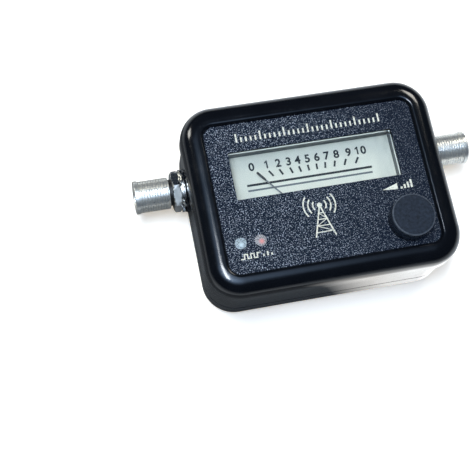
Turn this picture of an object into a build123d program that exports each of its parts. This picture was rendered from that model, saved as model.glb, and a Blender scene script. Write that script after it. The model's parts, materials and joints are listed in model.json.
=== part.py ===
"""Hand-held satellite signal meter: a black two-part case with a moving-coil meter,
a gain knob, two signal lamps and a threaded aerial connector on each side.

Millimetres. +Z points out of the face, +Y up the face, and the origin is the centre
of the case's back, on which the meter rests.
"""
import os
from math import atan2, cos, degrees, hypot, radians, sin, sqrt

from build123d import *

os.makedirs("parts", exist_ok=True)

# Case outline
case_width = 77.0
case_height = 59.0
case_corner = 10.4
label_level = 26.6
front_depth = 7.2
shell_step = 0.85
rear_wall = 2.0
floor_thickness = 1.5
face_wall = 2.0

# Bezel round the label
bezel_side = 6.8
bezel_top = 7.25
bezel_bottom = 6.25
bezel_rise = 1.0
bezel_outer_round = 5.0
bezel_inner_round = 0.9
label_thickness = 0.25
label_corner = 3.4
label_gap = 0.15
crest_share = 0.2
crest_round_share = 0.85

# Seam between the two shells
tongue_thickness = 0.9
tongue_height = 2.0
seam_gap = 0.12

# Rear shell's outside
back_round = 2.6
groove_level = 7.3
groove_width = 0.5
groove_depth = 0.35
back_frame_width = 44.0
back_frame_height = 25.0
back_frame_depth = 0.4
back_frame_corner = 2.0
back_frame_border = 1.2

# Case screws and their bosses
boss_radius = 3.5
boss_gap = 0.5
screw_radius = 1.3
screw_hole_gap = 0.2
screw_pilot_gap = 0.05
screw_head_radius = 2.3
screw_head_height = 1.9
screw_head_gap = 0.2
screw_seat_level = 3.0
screw_bite = 3.0
screw_slot_width = 0.6
screw_slot_depth = 0.7

# Window
window_left_margin = 6.1
window_right_margin = 7.3
window_top_margin = 8.7
window_bottom_margin = 22.0
window_corner = 0.4

# Knob and potentiometer
knob_right_margin = 8.6
knob_bottom_margin = 7.7
knob_radius = 6.5
knob_height = 5.1
knob_lift = 0.6
knob_edge = 0.35
knob_rim = 0.9
knob_hub_radius = 4.2
knob_top = 1.2
shaft_radius = 3.0
shaft_bore_gap = 0.05
shaft_hole_gap = 0.4
shaft_end_gap = 0.1
pot_width = 9.5
pot_depth = 10.0
pot_height = 6.8
pot_offset = 1.8
pot_bushing_radius = 3.9
pot_bushing_height = 5.0
pot_floor = 2.0
pot_pin_pitch = 2.5
pot_pin_radius = 0.45

# Signal lamps
lamp_left_margin = 4.5
lamp_bottom_margin = 9.05
lamp_pitch = 5.9
lamp_radius = 1.5
lamp_flange_radius = 1.9
lamp_flange_height = 1.0
lamp_height = 5.7
lamp_top_gap = 0.25
lamp_hole_gap = 0.25
lamp_lead_width = 0.5
lamp_lead_pitch = 2.54

# Circuit board
board_side_gap = 3.25
board_end_gap = 2.25
board_gap = 0.3
board_level = 4.4
board_thickness = 1.6
board_screw_share = 0.478
board_screw_margin = 2.9
board_screw_radius = 1.0
board_screw_length = 4.4
board_screw_head_radius = 1.9
board_screw_head_height = 1.3
board_post_radius = 2.4
lead_gap = 0.1
lead_stub = 0.6

# Aerial connectors, threaded 32 turns to the inch
connector_top_margin = 20.3
connector_drop = 7.8
pad_radius = 6.6
pad_height = 1.1
washer_thickness = 1.2
washer_ring = 0.6
washer_inner_radius = 4.8
washer_ring_radius = 5.3
washer_outer_radius = 6.5
washer_tooth_width = 1.5
washer_tooth_twist = 24.0
washer_teeth = 12
hex_across_flats = 11.0
hex_thickness = 2.4
inner_nut_thickness = 2.2
thread_radius = 4.66
thread_root_radius = 4.25
thread_pitch = 25.4 / 32
thread_crest_share = 0.43
thread_turns = 12
right_turns = 13
neck_length = 0.55
lip_radius = 4.72
lip_length = 1.37
lip_round = 0.3
tail_radius = 4.5
tail_length = 7.2
right_setback = 2.8
barrel_bore_radius = 3.4
barrel_hole_gap = 0.15
insulator_recess = 0.4
insulator_hole_radius = 0.9
insulator_front = 1.4
contact_radius = 1.0
contact_bore_radius = 0.65
contact_bore_depth = 6.0
contact_tail_radius = 0.5
contact_tail_reach = 2.0

# Meter body
meter_wall = 1.4
meter_stem_width = 20.4
meter_dial_overlap = 2.7
dial_depth = 5.6
dial_thickness = 0.4
dial_gap = 0.1
meter_bar_floor = 1.4
meter_stem_level = 9.5
meter_stem_floor = 1.2
meter_stem_below = 10.0
meter_stem_gap = 2.35
cover_thickness = 1.0
cover_gap = 0.15
cover_recess = 0.7
cover_window_gap = 0.1

# Meter movement
pivot_shift = 0.3
pointer_left_margin = 8.05
pointer_top_margin = 6.0
pointer_tip_width = 0.5
pointer_root_width = 0.8
pointer_thickness = 0.25
pointer_lift = 0.45
pointer_hub_radius = 0.95
pointer_tail = 5.4
pointer_weight_radius = 0.8
pointer_weight_height = 0.7
bridge_thickness = 0.8
bridge_width = 3.6
yoke_radius = 7.9
yoke_bore_radius = 6.3
yoke_gap = 0.3
pillar_radius = 0.75
magnet_radius = 4.9
magnet_support_width = 2.6
magnet_support_height = 1.6
coil_wall = 0.6
coil_radial = 0.7
coil_width = 2.8
coil_gap = 0.3
coil_headroom = 1.6
pivot_radius = 0.37
pivot_gap = 0.05
pivot_engagement = 0.35
jewel_radius = 0.95
lower_jewel_height = 0.6
spring_strip = 0.15
spring_height = 0.4
spring_inner_radius = 1.0
spring_pitch = 0.7
spring_half_turns = 7
spring_level_share = 0.45
stop_radius = 0.4
stop_height = 1.4
stop_edge = 0.25
stop_low_turn = 4.0
stop_high_turn = 1.5
terminal_radius = 0.5
terminal_spread = 6.0
terminal_drop = 7.0

# Board parts
buzzer_radius = 4.75
buzzer_height = 6.0
buzzer_share = (-0.617, 0.082)
buzzer_port_radius = 1.2
buzzer_port_depth = 1.0
shield_width = 20.0
shield_depth = 8.0
shield_height = 6.0
shield_wall = 0.4
shield_share = (0, 0.45)
chip_length = 9.6
chip_width = 6.4
chip_height = 2.9
chip_lift = 0.5
chip_share = (0.512, 0.0615)
chip_pin_pitch = 2.54
chip_pin_width = 0.5
chip_pins_a_side = 4
capacitor_radius = 2.5
capacitor_height = 11.0
capacitor_edge = 0.3
capacitor_shares = [(-0.2, 0.807), (0, 0.807), (0.2, 0.807)]
choke_radius = 1.6
choke_length = 7.0
choke_shares = [(-0.664, 0.631), (0.664, 0.631)]
resistor_radius = 0.9
resistor_length = 4.4
resistor_pitch = 2.3
resistor_count = 2
resistor_share = (-0.648, -0.861)
disc_radius = 2.2
disc_thickness = 1.3
disc_shares = [(0.821, 0.443), (-0.756, 0.451), (-0.123, 0.061)]
transistor_radius = 2.2
transistor_flat = 1.3
transistor_height = 4.6
transistor_shares = [(-0.525, -0.348), (0.821, -0.0615)]

# A length by which cuts run past what they cut
overrun = 1.0

# Levels and outlines that follow from the sizes above
parting_level = label_level - front_depth
rear_width = case_width - 2 * shell_step
rear_height = case_height - 2 * shell_step
rear_corner = case_corner - shell_step
inner_width = rear_width - 2 * rear_wall
inner_height = rear_height - 2 * rear_wall
inner_corner = rear_corner - rear_wall
label_width = case_width - 2 * bezel_side
label_height = case_height - bezel_top - bezel_bottom
label_y = (bezel_bottom - bezel_top) / 2
label_bottom = label_y - label_height / 2
label_seat = label_level - label_thickness
face_underside = label_seat - face_wall
crest_level = label_level + bezel_rise
tongue_width = inner_width + 2 * tongue_thickness
tongue_depth = inner_height + 2 * tongue_thickness
tongue_corner = inner_corner + tongue_thickness
boss_spread = (inner_corner - boss_radius - boss_gap) / sqrt(2)
boss_x = inner_width / 2 - inner_corner + boss_spread
boss_y = inner_height / 2 - inner_corner + boss_spread
board_width = inner_width - 2 * board_side_gap
board_height = inner_height - 2 * board_end_gap
board_screw_x = board_screw_share * board_width / 2
board_screw_y = board_height / 2 - board_screw_margin
board_top = board_level + board_thickness
board_corner = (board_width + board_height) / 2 - boss_x - boss_y + sqrt(2) * (boss_radius + board_gap)
lead_end = board_level - lead_stub
window_width = label_width - window_left_margin - window_right_margin
window_height = label_height - window_top_margin - window_bottom_margin
window_x = (window_left_margin - window_right_margin) / 2
window_y = label_y + (window_bottom_margin - window_top_margin) / 2
knob_x = label_width / 2 - knob_right_margin
knob_y = label_bottom + knob_bottom_margin
connector_y = case_height / 2 - connector_top_margin
connector_level = parting_level - connector_drop
dial_level = label_level - dial_depth
cover_top = face_underside - cover_gap
cover_seat = cover_top - cover_thickness
cover_window_level = label_level - cover_recess
shaft_hole_radius = shaft_radius + shaft_hole_gap
lamp_hole_radius = lamp_radius + lamp_hole_gap
lamp_x = lamp_left_margin - label_width / 2
lamp_y = label_bottom + lamp_bottom_margin
lamp_places = [(lamp_x, lamp_y), (lamp_x + lamp_pitch, lamp_y)]
smallest_bezel = min(bezel_side, bezel_top, bezel_bottom)
outer_round = min(bezel_outer_round, (1 - crest_share) * smallest_bezel)
inner_round = min(bezel_inner_round, crest_round_share * (smallest_bezel - outer_round - label_gap))
hex_corner_radius = hex_across_flats / sqrt(3)

# Distances along a connector, from the case's middle outwards
wall_face = rear_width / 2
pad_face = wall_face + pad_height
hex_face = pad_face + washer_thickness
neck_start = hex_face + hex_thickness
thread_start = neck_start + neck_length
lip_start = thread_start + thread_turns * thread_pitch
mouth = lip_start + lip_length
tail_end = hex_face - tail_length
inner_hex_end = wall_face - rear_wall - washer_thickness
inner_hex_start = inner_hex_end - hex_thickness
insulator_mouth = mouth - insulator_recess
contact_mouth = insulator_mouth - insulator_front

# The meter body's outline: a wide bar under the window and a stem round the movement
bar_left = window_x - window_width / 2 - meter_wall
bar_right = window_x + window_width / 2 + meter_wall
bar_top = window_y + window_height / 2 + meter_wall
dial_bottom = window_y - window_height / 2 - meter_dial_overlap
bar_bottom = dial_bottom - meter_wall
stem_bottom = meter_stem_gap - inner_height / 2
pivot_x = window_x + pivot_shift
pivot_y = stem_bottom + meter_stem_below
stem_left = pivot_x - meter_stem_width / 2
stem_right = pivot_x + meter_stem_width / 2
stem_top = pivot_y + yoke_radius + yoke_gap + meter_wall
stem_middle = (stem_top + stem_bottom) / 2
bar_floor_level = dial_level - dial_thickness - meter_bar_floor
stem_floor_top = meter_stem_level + meter_stem_floor

# Levels in the movement, from the stem's floor upwards
yoke_level = stem_floor_top + bridge_thickness
upper_bridge_top = cover_seat - pivot_gap
upper_bridge_level = upper_bridge_top - bridge_thickness
pointer_level = dial_level + pointer_lift
pointer_top = pointer_level + pointer_thickness
lower_jewel_top = yoke_level + lower_jewel_height
coil_level = lower_jewel_top + coil_gap
coil_top = pointer_level - coil_headroom
yoke_height = coil_top - yoke_level
magnet_level = coil_level + coil_wall + coil_gap
magnet_height = coil_top - coil_wall - coil_gap - magnet_level
upper_jewel_level = pointer_top + coil_gap
lower_pivot_end = lower_jewel_top - pivot_engagement
upper_pivot_end = upper_jewel_level + pivot_engagement
spring_level = coil_top + spring_level_share * (pointer_level - coil_top)
spring_outer_radius = spring_inner_radius + spring_half_turns * spring_pitch / 2
pillar_x = (yoke_radius + yoke_bore_radius) / 2

# The pointer at rest and the stops at the ends of its swing
tip_left = pivot_x - (window_x - window_width / 2 + pointer_left_margin)
tip_up = window_y + window_height / 2 - pointer_top_margin - pivot_y
pointer_rest_angle = degrees(atan2(tip_left, tip_up))
pointer_length = hypot(tip_left, tip_up)
stop_angles = (pointer_rest_angle + stop_low_turn, -pointer_rest_angle - stop_high_turn)
stop_up = dial_bottom + dial_gap + stop_radius + stop_edge - pivot_y


def along_connector(side):
    """Plane that holds a connector's axis: x runs outwards from the case's middle, y up."""
    return Plane(origin=(0, connector_y, connector_level), x_dir=(side, 0, 0), z_dir=(0, -side, 0))


def across_connector(side, distance):
    """Plane square to a connector's axis, at a distance from the case's middle."""
    return Plane(
        origin=(side * distance, connector_y, connector_level), x_dir=(0, 1, 0), z_dir=(side, 0, 0)
    )


def at_pivot(level, angle=0):
    """Horizontal plane centred on the pointer's pivot, turned by an angle."""
    direction = (cos(radians(angle)), sin(radians(angle)), 0)
    return Plane(origin=(pivot_x, pivot_y, level), x_dir=direction, z_dir=(0, 0, 1))


def on_board(share):
    """Place on the board, from shares of its half width and half height."""
    return (share[0] * board_width / 2, share[1] * board_height / 2)


def meter_corners(inset):
    """Corners of the meter body's T-shaped outline, drawn in from its outside by an inset."""
    return [
        (bar_left + inset, bar_top - inset),
        (bar_left + inset, bar_bottom + inset),
        (stem_left + inset, bar_bottom + inset),
        (stem_left + inset, stem_bottom + inset),
        (stem_right - inset, stem_bottom + inset),
        (stem_right - inset, bar_bottom + inset),
        (bar_right - inset, bar_bottom + inset),
        (bar_right - inset, bar_top - inset),
    ]


# Front shell: bezel, label recess, window, lamp and shaft holes, screw bosses
with BuildPart() as front_shell:
    with BuildSketch(Plane.XY.offset(parting_level)):
        RectangleRounded(case_width, case_height, case_corner)
    extrude(amount=crest_level - parting_level)
    fillet(front_shell.edges().group_by(Axis.Z)[-1], radius=outer_round)
    with BuildSketch(Plane.XY.offset(label_seat)):
        with Locations((0, label_y)):
            RectangleRounded(label_width + 2 * label_gap, label_height + 2 * label_gap, label_corner)
    extrude(amount=bezel_rise + label_thickness + overrun, mode=Mode.SUBTRACT)
    crest = front_shell.faces().filter_by(Axis.Z).sort_by(Axis.Z)[-1]
    fillet(crest.inner_wires()[0].edges(), radius=inner_round)
    with BuildSketch(Plane.XY.offset(parting_level)):
        RectangleRounded(inner_width, inner_height, inner_corner)
    extrude(amount=face_underside - parting_level, mode=Mode.SUBTRACT)
    with BuildSketch(Plane.XY.offset(parting_level)):
        RectangleRounded(tongue_width + 2 * seam_gap, tongue_depth + 2 * seam_gap, tongue_corner)
    extrude(amount=tongue_height + seam_gap, mode=Mode.SUBTRACT)
    with BuildSketch(Plane.XY.offset(parting_level)):
        with GridLocations(2 * boss_x, 2 * boss_y, 2, 2):
            Circle(boss_radius)
    extrude(amount=face_underside - parting_level)
    with BuildSketch(Plane.XY.offset(parting_level)):
        with GridLocations(2 * boss_x, 2 * boss_y, 2, 2):
            Circle(screw_radius + screw_pilot_gap)
    extrude(amount=screw_bite + screw_pilot_gap, mode=Mode.SUBTRACT)
    with BuildSketch(Plane.XY.offset(face_underside - overrun)):
        with Locations((window_x, window_y)):
            RectangleRounded(window_width, window_height, window_corner)
        with Locations((knob_x, knob_y)):
            Circle(shaft_hole_radius)
        with Locations(*lamp_places):
            Circle(lamp_hole_radius)
    extrude(amount=face_wall + 2 * overrun, mode=Mode.SUBTRACT)
front_shell.part.label = "front_shell"
export_step(front_shell.part, "parts/front_shell.step")

# Rear shell: tray with a locating tongue, screw bosses, board posts and connector pads
with BuildPart() as rear_shell:
    with BuildSketch():
        RectangleRounded(rear_width, rear_height, rear_corner)
    extrude(amount=parting_level)
    fillet(rear_shell.edges().group_by(Axis.Z)[0], radius=back_round)
    with BuildSketch(Plane.XY.offset(parting_level)):
        RectangleRounded(tongue_width, tongue_depth, tongue_corner)
    extrude(amount=tongue_height)
    with BuildSketch(Plane.XY.offset(floor_thickness)):
        RectangleRounded(inner_width, inner_height, inner_corner)
    extrude(amount=parting_level + tongue_height - floor_thickness, mode=Mode.SUBTRACT)
    with BuildSketch(Plane.XY.offset(groove_level - groove_width / 2)):
        RectangleRounded(rear_width + 2 * overrun, rear_height + 2 * overrun, rear_corner + overrun)
        RectangleRounded(
            rear_width - 2 * groove_depth,
            rear_height - 2 * groove_depth,
            rear_corner - groove_depth,
            mode=Mode.SUBTRACT,
        )
    extrude(amount=groove_width, mode=Mode.SUBTRACT)
    with BuildSketch(Plane.XY.offset(floor_thickness)):
        with GridLocations(2 * boss_x, 2 * boss_y, 2, 2):
            Circle(boss_radius)
    extrude(amount=parting_level - floor_thickness)
    with BuildSketch():
        with GridLocations(2 * boss_x, 2 * boss_y, 2, 2):
            Circle(screw_radius + screw_hole_gap)
    extrude(amount=parting_level, mode=Mode.SUBTRACT)
    with BuildSketch():
        with GridLocations(2 * boss_x, 2 * boss_y, 2, 2):
            Circle(screw_head_radius + screw_head_gap)
    extrude(amount=screw_seat_level, mode=Mode.SUBTRACT)
    with BuildSketch(Plane.XY.offset(floor_thickness)):
        with GridLocations(2 * board_screw_x, 2 * board_screw_y, 2, 2):
            Circle(board_post_radius)
    extrude(amount=board_level - floor_thickness)
    with BuildSketch(Plane.XY.offset(board_level)):
        with GridLocations(2 * board_screw_x, 2 * board_screw_y, 2, 2):
            Circle(board_screw_radius + screw_pilot_gap)
    extrude(amount=-(board_screw_length - board_thickness + screw_pilot_gap), mode=Mode.SUBTRACT)
    with BuildSketch():
        RectangleRounded(back_frame_width, back_frame_height, back_frame_corner)
        RectangleRounded(
            back_frame_width - 2 * back_frame_border,
            back_frame_height - 2 * back_frame_border,
            back_frame_corner - back_frame_border,
            mode=Mode.SUBTRACT,
        )
    extrude(amount=back_frame_depth, mode=Mode.SUBTRACT)
    for side in (-1, 1):
        with BuildSketch(across_connector(side, wall_face)):
            Circle(pad_radius)
        extrude(amount=pad_height)
        with BuildSketch(across_connector(side, wall_face)):
            Circle(pad_radius)
        extrude(amount=-rear_wall)
        with BuildSketch(across_connector(side, pad_face)):
            Circle(tail_radius + barrel_hole_gap)
        extrude(amount=-(pad_height + rear_wall + overrun), mode=Mode.SUBTRACT)
rear_shell.part.label = "rear_shell"
export_step(rear_shell.part, "parts/rear_shell.step")

# Face label: a printed film in the bezel's recess, clear over the lamps
with BuildPart() as face_label:
    with BuildSketch(Plane.XY.offset(label_seat)):
        with Locations((0, label_y)):
            RectangleRounded(label_width, label_height, label_corner - label_gap)
        with Locations((window_x, window_y)):
            RectangleRounded(window_width, window_height, window_corner, mode=Mode.SUBTRACT)
        with Locations((knob_x, knob_y)):
            Circle(shaft_hole_radius, mode=Mode.SUBTRACT)
    extrude(amount=label_thickness)
face_label.part.label = "face_label"
export_step(face_label.part, "parts/face_label.step")

# Case screws: pan heads in the back's counterbores, shanks up into the front bosses
with BuildPart() as case_screws:
    with BuildSketch(Plane.XY.offset(screw_seat_level - screw_head_height)):
        with GridLocations(2 * boss_x, 2 * boss_y, 2, 2):
            Circle(screw_head_radius)
    extrude(amount=screw_head_height)
    with BuildSketch(Plane.XY.offset(screw_seat_level)):
        with GridLocations(2 * boss_x, 2 * boss_y, 2, 2):
            Circle(screw_radius)
    extrude(amount=parting_level + screw_bite - screw_seat_level)
    with BuildSketch(Plane.XY.offset(screw_seat_level - screw_head_height)):
        with GridLocations(2 * boss_x, 2 * boss_y, 2, 2):
            Rectangle(screw_head_radius, screw_slot_width)
            Rectangle(screw_slot_width, screw_head_radius)
    extrude(amount=screw_slot_depth, mode=Mode.SUBTRACT)
case_screws.part.label = "case_screws"
export_step(case_screws.part, "parts/case_screws.step")

# Circuit board, with its corners cut off round the case bosses
with BuildPart() as circuit_board:
    with BuildSketch(Plane.XY.offset(board_level)) as board_outline:
        Rectangle(board_width, board_height)
        chamfer(board_outline.vertices(), length=board_corner)
        with GridLocations(2 * board_screw_x, 2 * board_screw_y, 2, 2):
            Circle(board_screw_radius + screw_hole_gap, mode=Mode.SUBTRACT)
        left_leg_x = contact_tail_reach - tail_end
        right_leg_x = inner_hex_start - contact_tail_reach
        with Locations((left_leg_x, connector_y), (right_leg_x, connector_y)):
            Circle(contact_tail_radius + lead_gap, mode=Mode.SUBTRACT)
        with Locations((pivot_x, pivot_y - terminal_drop)):
            with GridLocations(2 * terminal_spread, 0, 2, 1):
                Circle(terminal_radius + lead_gap, mode=Mode.SUBTRACT)
        with Locations(*lamp_places):
            with GridLocations(lamp_lead_pitch, 0, 2, 1):
                Circle(lamp_lead_width, mode=Mode.SUBTRACT)
        with Locations((knob_x, knob_y)):
            with GridLocations(pot_pin_pitch, 0, 3, 1):
                Circle(pot_pin_radius + lead_gap, mode=Mode.SUBTRACT)
    extrude(amount=board_thickness)
circuit_board.part.label = "circuit_board"
export_step(circuit_board.part, "parts/circuit_board.step")

# Board screws
with BuildPart() as board_screws:
    with BuildSketch(Plane.XY.offset(board_top)):
        with GridLocations(2 * board_screw_x, 2 * board_screw_y, 2, 2):
            Circle(board_screw_head_radius)
    extrude(amount=board_screw_head_height)
    with BuildSketch(Plane.XY.offset(board_top)):
        with GridLocations(2 * board_screw_x, 2 * board_screw_y, 2, 2):
            Circle(board_screw_radius)
    extrude(amount=-board_screw_length)
board_screws.part.label = "board_screws"
export_step(board_screws.part, "parts/board_screws.step")

# A connector on each side: body, insulator, contact and lock washer. The left body's hexagon bears
# on the wall from outside. The right one sits further in, and its hexagon bears from inside.
for side, name, hex_start, hex_turn, washer_start, shank_end, tail, turns, setback in (
    (-1, "left", hex_face, 30, pad_face, hex_face, tail_end, thread_turns, 0),
    (1, "right", inner_hex_start, 0, inner_hex_end, pad_face, inner_hex_start, right_turns, right_setback),
):
    axis = Axis((0, connector_y, connector_level), (side, 0, 0))
    hex_end = hex_start + hex_thickness
    lip_from = lip_start - setback
    thread_from = lip_from - turns * thread_pitch
    barrel_end = mouth - setback
    contact_end = contact_mouth - setback

    # Body: hexagon, threaded barrel with a lip at its mouth, and a shank through the wall
    with BuildPart() as body:
        with BuildSketch(across_connector(side, hex_start)):
            RegularPolygon(hex_corner_radius, 6, rotation=hex_turn)
        extrude(amount=hex_thickness)
        with BuildSketch(along_connector(side)):
            with BuildLine():
                corner_cut = hex_corner_radius - hex_across_flats / 2
                Polyline(
                    (hex_start, 0),
                    (hex_start, hex_across_flats / 2),
                    (hex_start + corner_cut / 2, hex_corner_radius),
                    (hex_end - corner_cut / 2, hex_corner_radius),
                    (hex_end, hex_across_flats / 2),
                    (hex_end, 0),
                    close=True,
                )
            make_face()
        revolve(axis=axis, mode=Mode.INTERSECT)
        with BuildSketch(along_connector(side)):
            with BuildLine():
                crest = thread_crest_share * thread_pitch
                flank = (thread_pitch - crest) / 2
                profile = [(tail, 0), (tail, tail_radius), (shank_end, tail_radius)]
                profile += [(shank_end, thread_root_radius), (thread_from, thread_root_radius)]
                for turn in range(turns):
                    root = thread_from + turn * thread_pitch
                    profile += [
                        (root + flank, thread_radius),
                        (root + flank + crest, thread_radius),
                        (root + thread_pitch, thread_root_radius),
                    ]
                profile += [(lip_from, lip_radius), (barrel_end, lip_radius), (barrel_end, 0)]
                Polyline(*profile, close=True)
            make_face()
        revolve(axis=axis)
        with BuildSketch(across_connector(side, tail - overrun)):
            Circle(barrel_bore_radius)
        extrude(amount=barrel_end - tail + 2 * overrun, mode=Mode.SUBTRACT)
        rim = body.edges().filter_by(GeomType.CIRCLE).group_by(Axis.X)[-1 if side > 0 else 0]
        fillet(rim.sort_by(SortBy.RADIUS)[-1], radius=lip_round)
    body.part.label = f"{name}_connector"
    export_step(body.part, f"parts/{name}_connector.step")

    # Insulator: fills the barrel, with a small entry hole for the cable's core
    with BuildPart() as insulator:
        with BuildSketch(across_connector(side, tail)):
            Circle(barrel_bore_radius)
            Circle(contact_radius, mode=Mode.SUBTRACT)
        extrude(amount=contact_end - tail)
        with BuildSketch(across_connector(side, contact_end)):
            Circle(barrel_bore_radius)
            Circle(insulator_hole_radius, mode=Mode.SUBTRACT)
        extrude(amount=insulator_front)
    insulator.part.label = f"{name}_insulator"
    export_step(insulator.part, f"parts/{name}_insulator.step")

    # Contact: a tube inside the insulator and a tail bent down into the board
    with BuildPart() as contact:
        with BuildSketch(across_connector(side, tail)):
            Circle(contact_radius)
        extrude(amount=contact_end - tail)
        with BuildSketch(across_connector(side, contact_end)):
            Circle(contact_bore_radius)
        extrude(amount=-contact_bore_depth, mode=Mode.SUBTRACT)
        with BuildLine(along_connector(side)):
            FilletPolyline(
                (tail, 0),
                (tail - contact_tail_reach, 0),
                (tail - contact_tail_reach, lead_end - connector_level),
                radius=2 * contact_tail_radius,
            )
        with BuildSketch(across_connector(side, tail)):
            Circle(contact_tail_radius)
        sweep()
    contact.part.label = f"{name}_contact"
    export_step(contact.part, f"parts/{name}_contact.step")

    # Lock washer: a thin ring with twisted teeth round its outside
    with BuildPart() as lock_washer:
        middle = washer_start + washer_thickness / 2
        with BuildSketch(across_connector(side, middle - washer_ring / 2)):
            Circle(washer_ring_radius)
        extrude(amount=washer_ring)
        for tooth in range(washer_teeth):
            turn = radians(tooth * 360 / washer_teeth)
            outwards = Vector(0, cos(turn), sin(turn))
            place = Vector(side * middle, connector_y, connector_level)
            with BuildSketch(Plane(origin=place, x_dir=(1, 0, 0), z_dir=outwards)):
                Rectangle(washer_ring, washer_tooth_width, rotation=washer_tooth_twist)
            extrude(amount=washer_outer_radius)
        with BuildSketch(across_connector(side, washer_start)):
            Circle(washer_inner_radius)
        extrude(amount=washer_thickness, mode=Mode.SUBTRACT)
        with BuildSketch(across_connector(side, washer_start)):
            Circle(washer_outer_radius)
        extrude(amount=washer_thickness, mode=Mode.INTERSECT)
    lock_washer.part.label = f"{name}_lock_washer"
    export_step(lock_washer.part, f"parts/{name}_lock_washer.step")

# Inner nut: clamps the left connector to the wall from inside
with BuildPart() as left_inner_nut:
    with BuildSketch(across_connector(-1, wall_face - rear_wall)):
        RegularPolygon(hex_corner_radius, 6)
        Circle(tail_radius, mode=Mode.SUBTRACT)
    extrude(amount=-inner_nut_thickness)
left_inner_nut.part.label = "left_inner_nut"
export_step(left_inner_nut.part, "parts/left_inner_nut.step")

# Potentiometer: body on the board with a bushing that carries the shaft
with BuildPart() as potentiometer:
    with BuildSketch(Plane.XY.offset(board_top)):
        with Locations((knob_x, knob_y + pot_offset)):
            Rectangle(pot_width, pot_depth)
    extrude(amount=pot_height)
    with BuildSketch(Plane.XY.offset(board_top + pot_height)):
        with Locations((knob_x, knob_y)):
            Circle(pot_bushing_radius)
    extrude(amount=pot_bushing_height)
    with BuildSketch(Plane.XY.offset(board_top + pot_floor)):
        with Locations((knob_x, knob_y)):
            Circle(shaft_radius + shaft_bore_gap)
    extrude(amount=pot_height + pot_bushing_height - pot_floor, mode=Mode.SUBTRACT)
    with BuildSketch(Plane.XY.offset(board_top)):
        with Locations((knob_x, knob_y)):
            with GridLocations(pot_pin_pitch, 0, 3, 1):
                Circle(pot_pin_radius)
    extrude(amount=-(board_thickness + lead_stub))
potentiometer.part.label = "potentiometer"
export_step(potentiometer.part, "parts/potentiometer.step")

# Potentiometer shaft
knob_level = label_level + knob_lift
shaft_top = knob_level + knob_height - knob_top
with BuildPart() as potentiometer_shaft:
    with BuildSketch(Plane.XY.offset(board_top + pot_floor + shaft_end_gap)):
        with Locations((knob_x, knob_y)):
            Circle(shaft_radius)
    extrude(amount=shaft_top - board_top - pot_floor - shaft_end_gap)
potentiometer_shaft.part.label = "potentiometer_shaft"
export_step(potentiometer_shaft.part, "parts/potentiometer_shaft.step")

# Knob: plain cap with a hub pushed onto the shaft
with BuildPart() as knob:
    with BuildSketch(Plane.XY.offset(knob_level)):
        with Locations((knob_x, knob_y)):
            Circle(knob_radius)
    extrude(amount=knob_height)
    chamfer(knob.edges().group_by(Axis.Z)[-1], length=knob_edge)
    with BuildSketch(Plane.XY.offset(knob_level)):
        with Locations((knob_x, knob_y)):
            Circle(knob_radius - knob_rim)
            Circle(knob_hub_radius, mode=Mode.SUBTRACT)
            Circle(shaft_radius)
    extrude(amount=knob_height - knob_top, mode=Mode.SUBTRACT)
knob.part.label = "knob"
export_step(knob.part, "parts/knob.step")

# Signal lamps, their tops just under the label
lamp_base = label_seat - lamp_top_gap - lamp_height
for name, place in zip(("left", "right"), lamp_places):
    with BuildPart() as lamp:
        with BuildSketch(Plane(origin=(*place, lamp_base), x_dir=(1, 0, 0), z_dir=(0, -1, 0))):
            with BuildLine():
                Polyline(
                    (0, lamp_height - lamp_radius),
                    (0, 0),
                    (lamp_flange_radius, 0),
                    (lamp_flange_radius, lamp_flange_height),
                    (lamp_radius, lamp_flange_height),
                    (lamp_radius, lamp_height - lamp_radius),
                )
                RadiusArc((lamp_radius, lamp_height - lamp_radius), (0, lamp_height), -lamp_radius)
                Line((0, lamp_height), (0, lamp_height - lamp_radius))
            make_face()
        revolve(axis=Axis((*place, 0), (0, 0, 1)))
    lamp.part.label = f"{name}_lamp"
    export_step(lamp.part, f"parts/{name}_lamp.step")

# Lamp leads down to the board
with BuildPart() as lamp_leads:
    with BuildSketch(Plane.XY.offset(lead_end)):
        with Locations(*lamp_places):
            with GridLocations(lamp_lead_pitch, 0, 2, 1):
                Rectangle(lamp_lead_width, lamp_lead_width)
    extrude(amount=lamp_base - lead_end)
lamp_leads.part.label = "lamp_leads"
export_step(lamp_leads.part, "parts/lamp_leads.step")

# Meter case: tray that carries the dial in its bar and the movement in its stem
with BuildPart() as meter_case:
    with BuildSketch(Plane.XY.offset(bar_floor_level)):
        Polygon(*meter_corners(0), align=None)
    extrude(amount=cover_seat - bar_floor_level)
    with BuildSketch(Plane.XY.offset(dial_level - dial_thickness)):
        Polygon(*meter_corners(meter_wall), align=None)
    extrude(amount=dial_thickness + cover_seat - dial_level, mode=Mode.SUBTRACT)
    with BuildSketch(Plane.XY.offset(meter_stem_level)):
        with Locations((pivot_x, stem_middle)):
            Rectangle(meter_stem_width, stem_top - stem_bottom)
    extrude(amount=bar_floor_level - meter_stem_level)
    with BuildSketch(Plane.XY.offset(stem_floor_top)):
        with Locations((pivot_x, stem_middle)):
            Rectangle(meter_stem_width - 2 * meter_wall, stem_top - stem_bottom - 2 * meter_wall)
    extrude(amount=cover_seat - stem_floor_top, mode=Mode.SUBTRACT)
    with BuildSketch(Plane.XY.offset(meter_stem_level)):
        with Locations((pivot_x, pivot_y - terminal_drop)):
            with GridLocations(2 * terminal_spread, 0, 2, 1):
                Circle(terminal_radius + pivot_gap)
    extrude(amount=meter_stem_floor, mode=Mode.SUBTRACT)
meter_case.part.label = "meter_case"
export_step(meter_case.part, "parts/meter_case.step")

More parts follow.
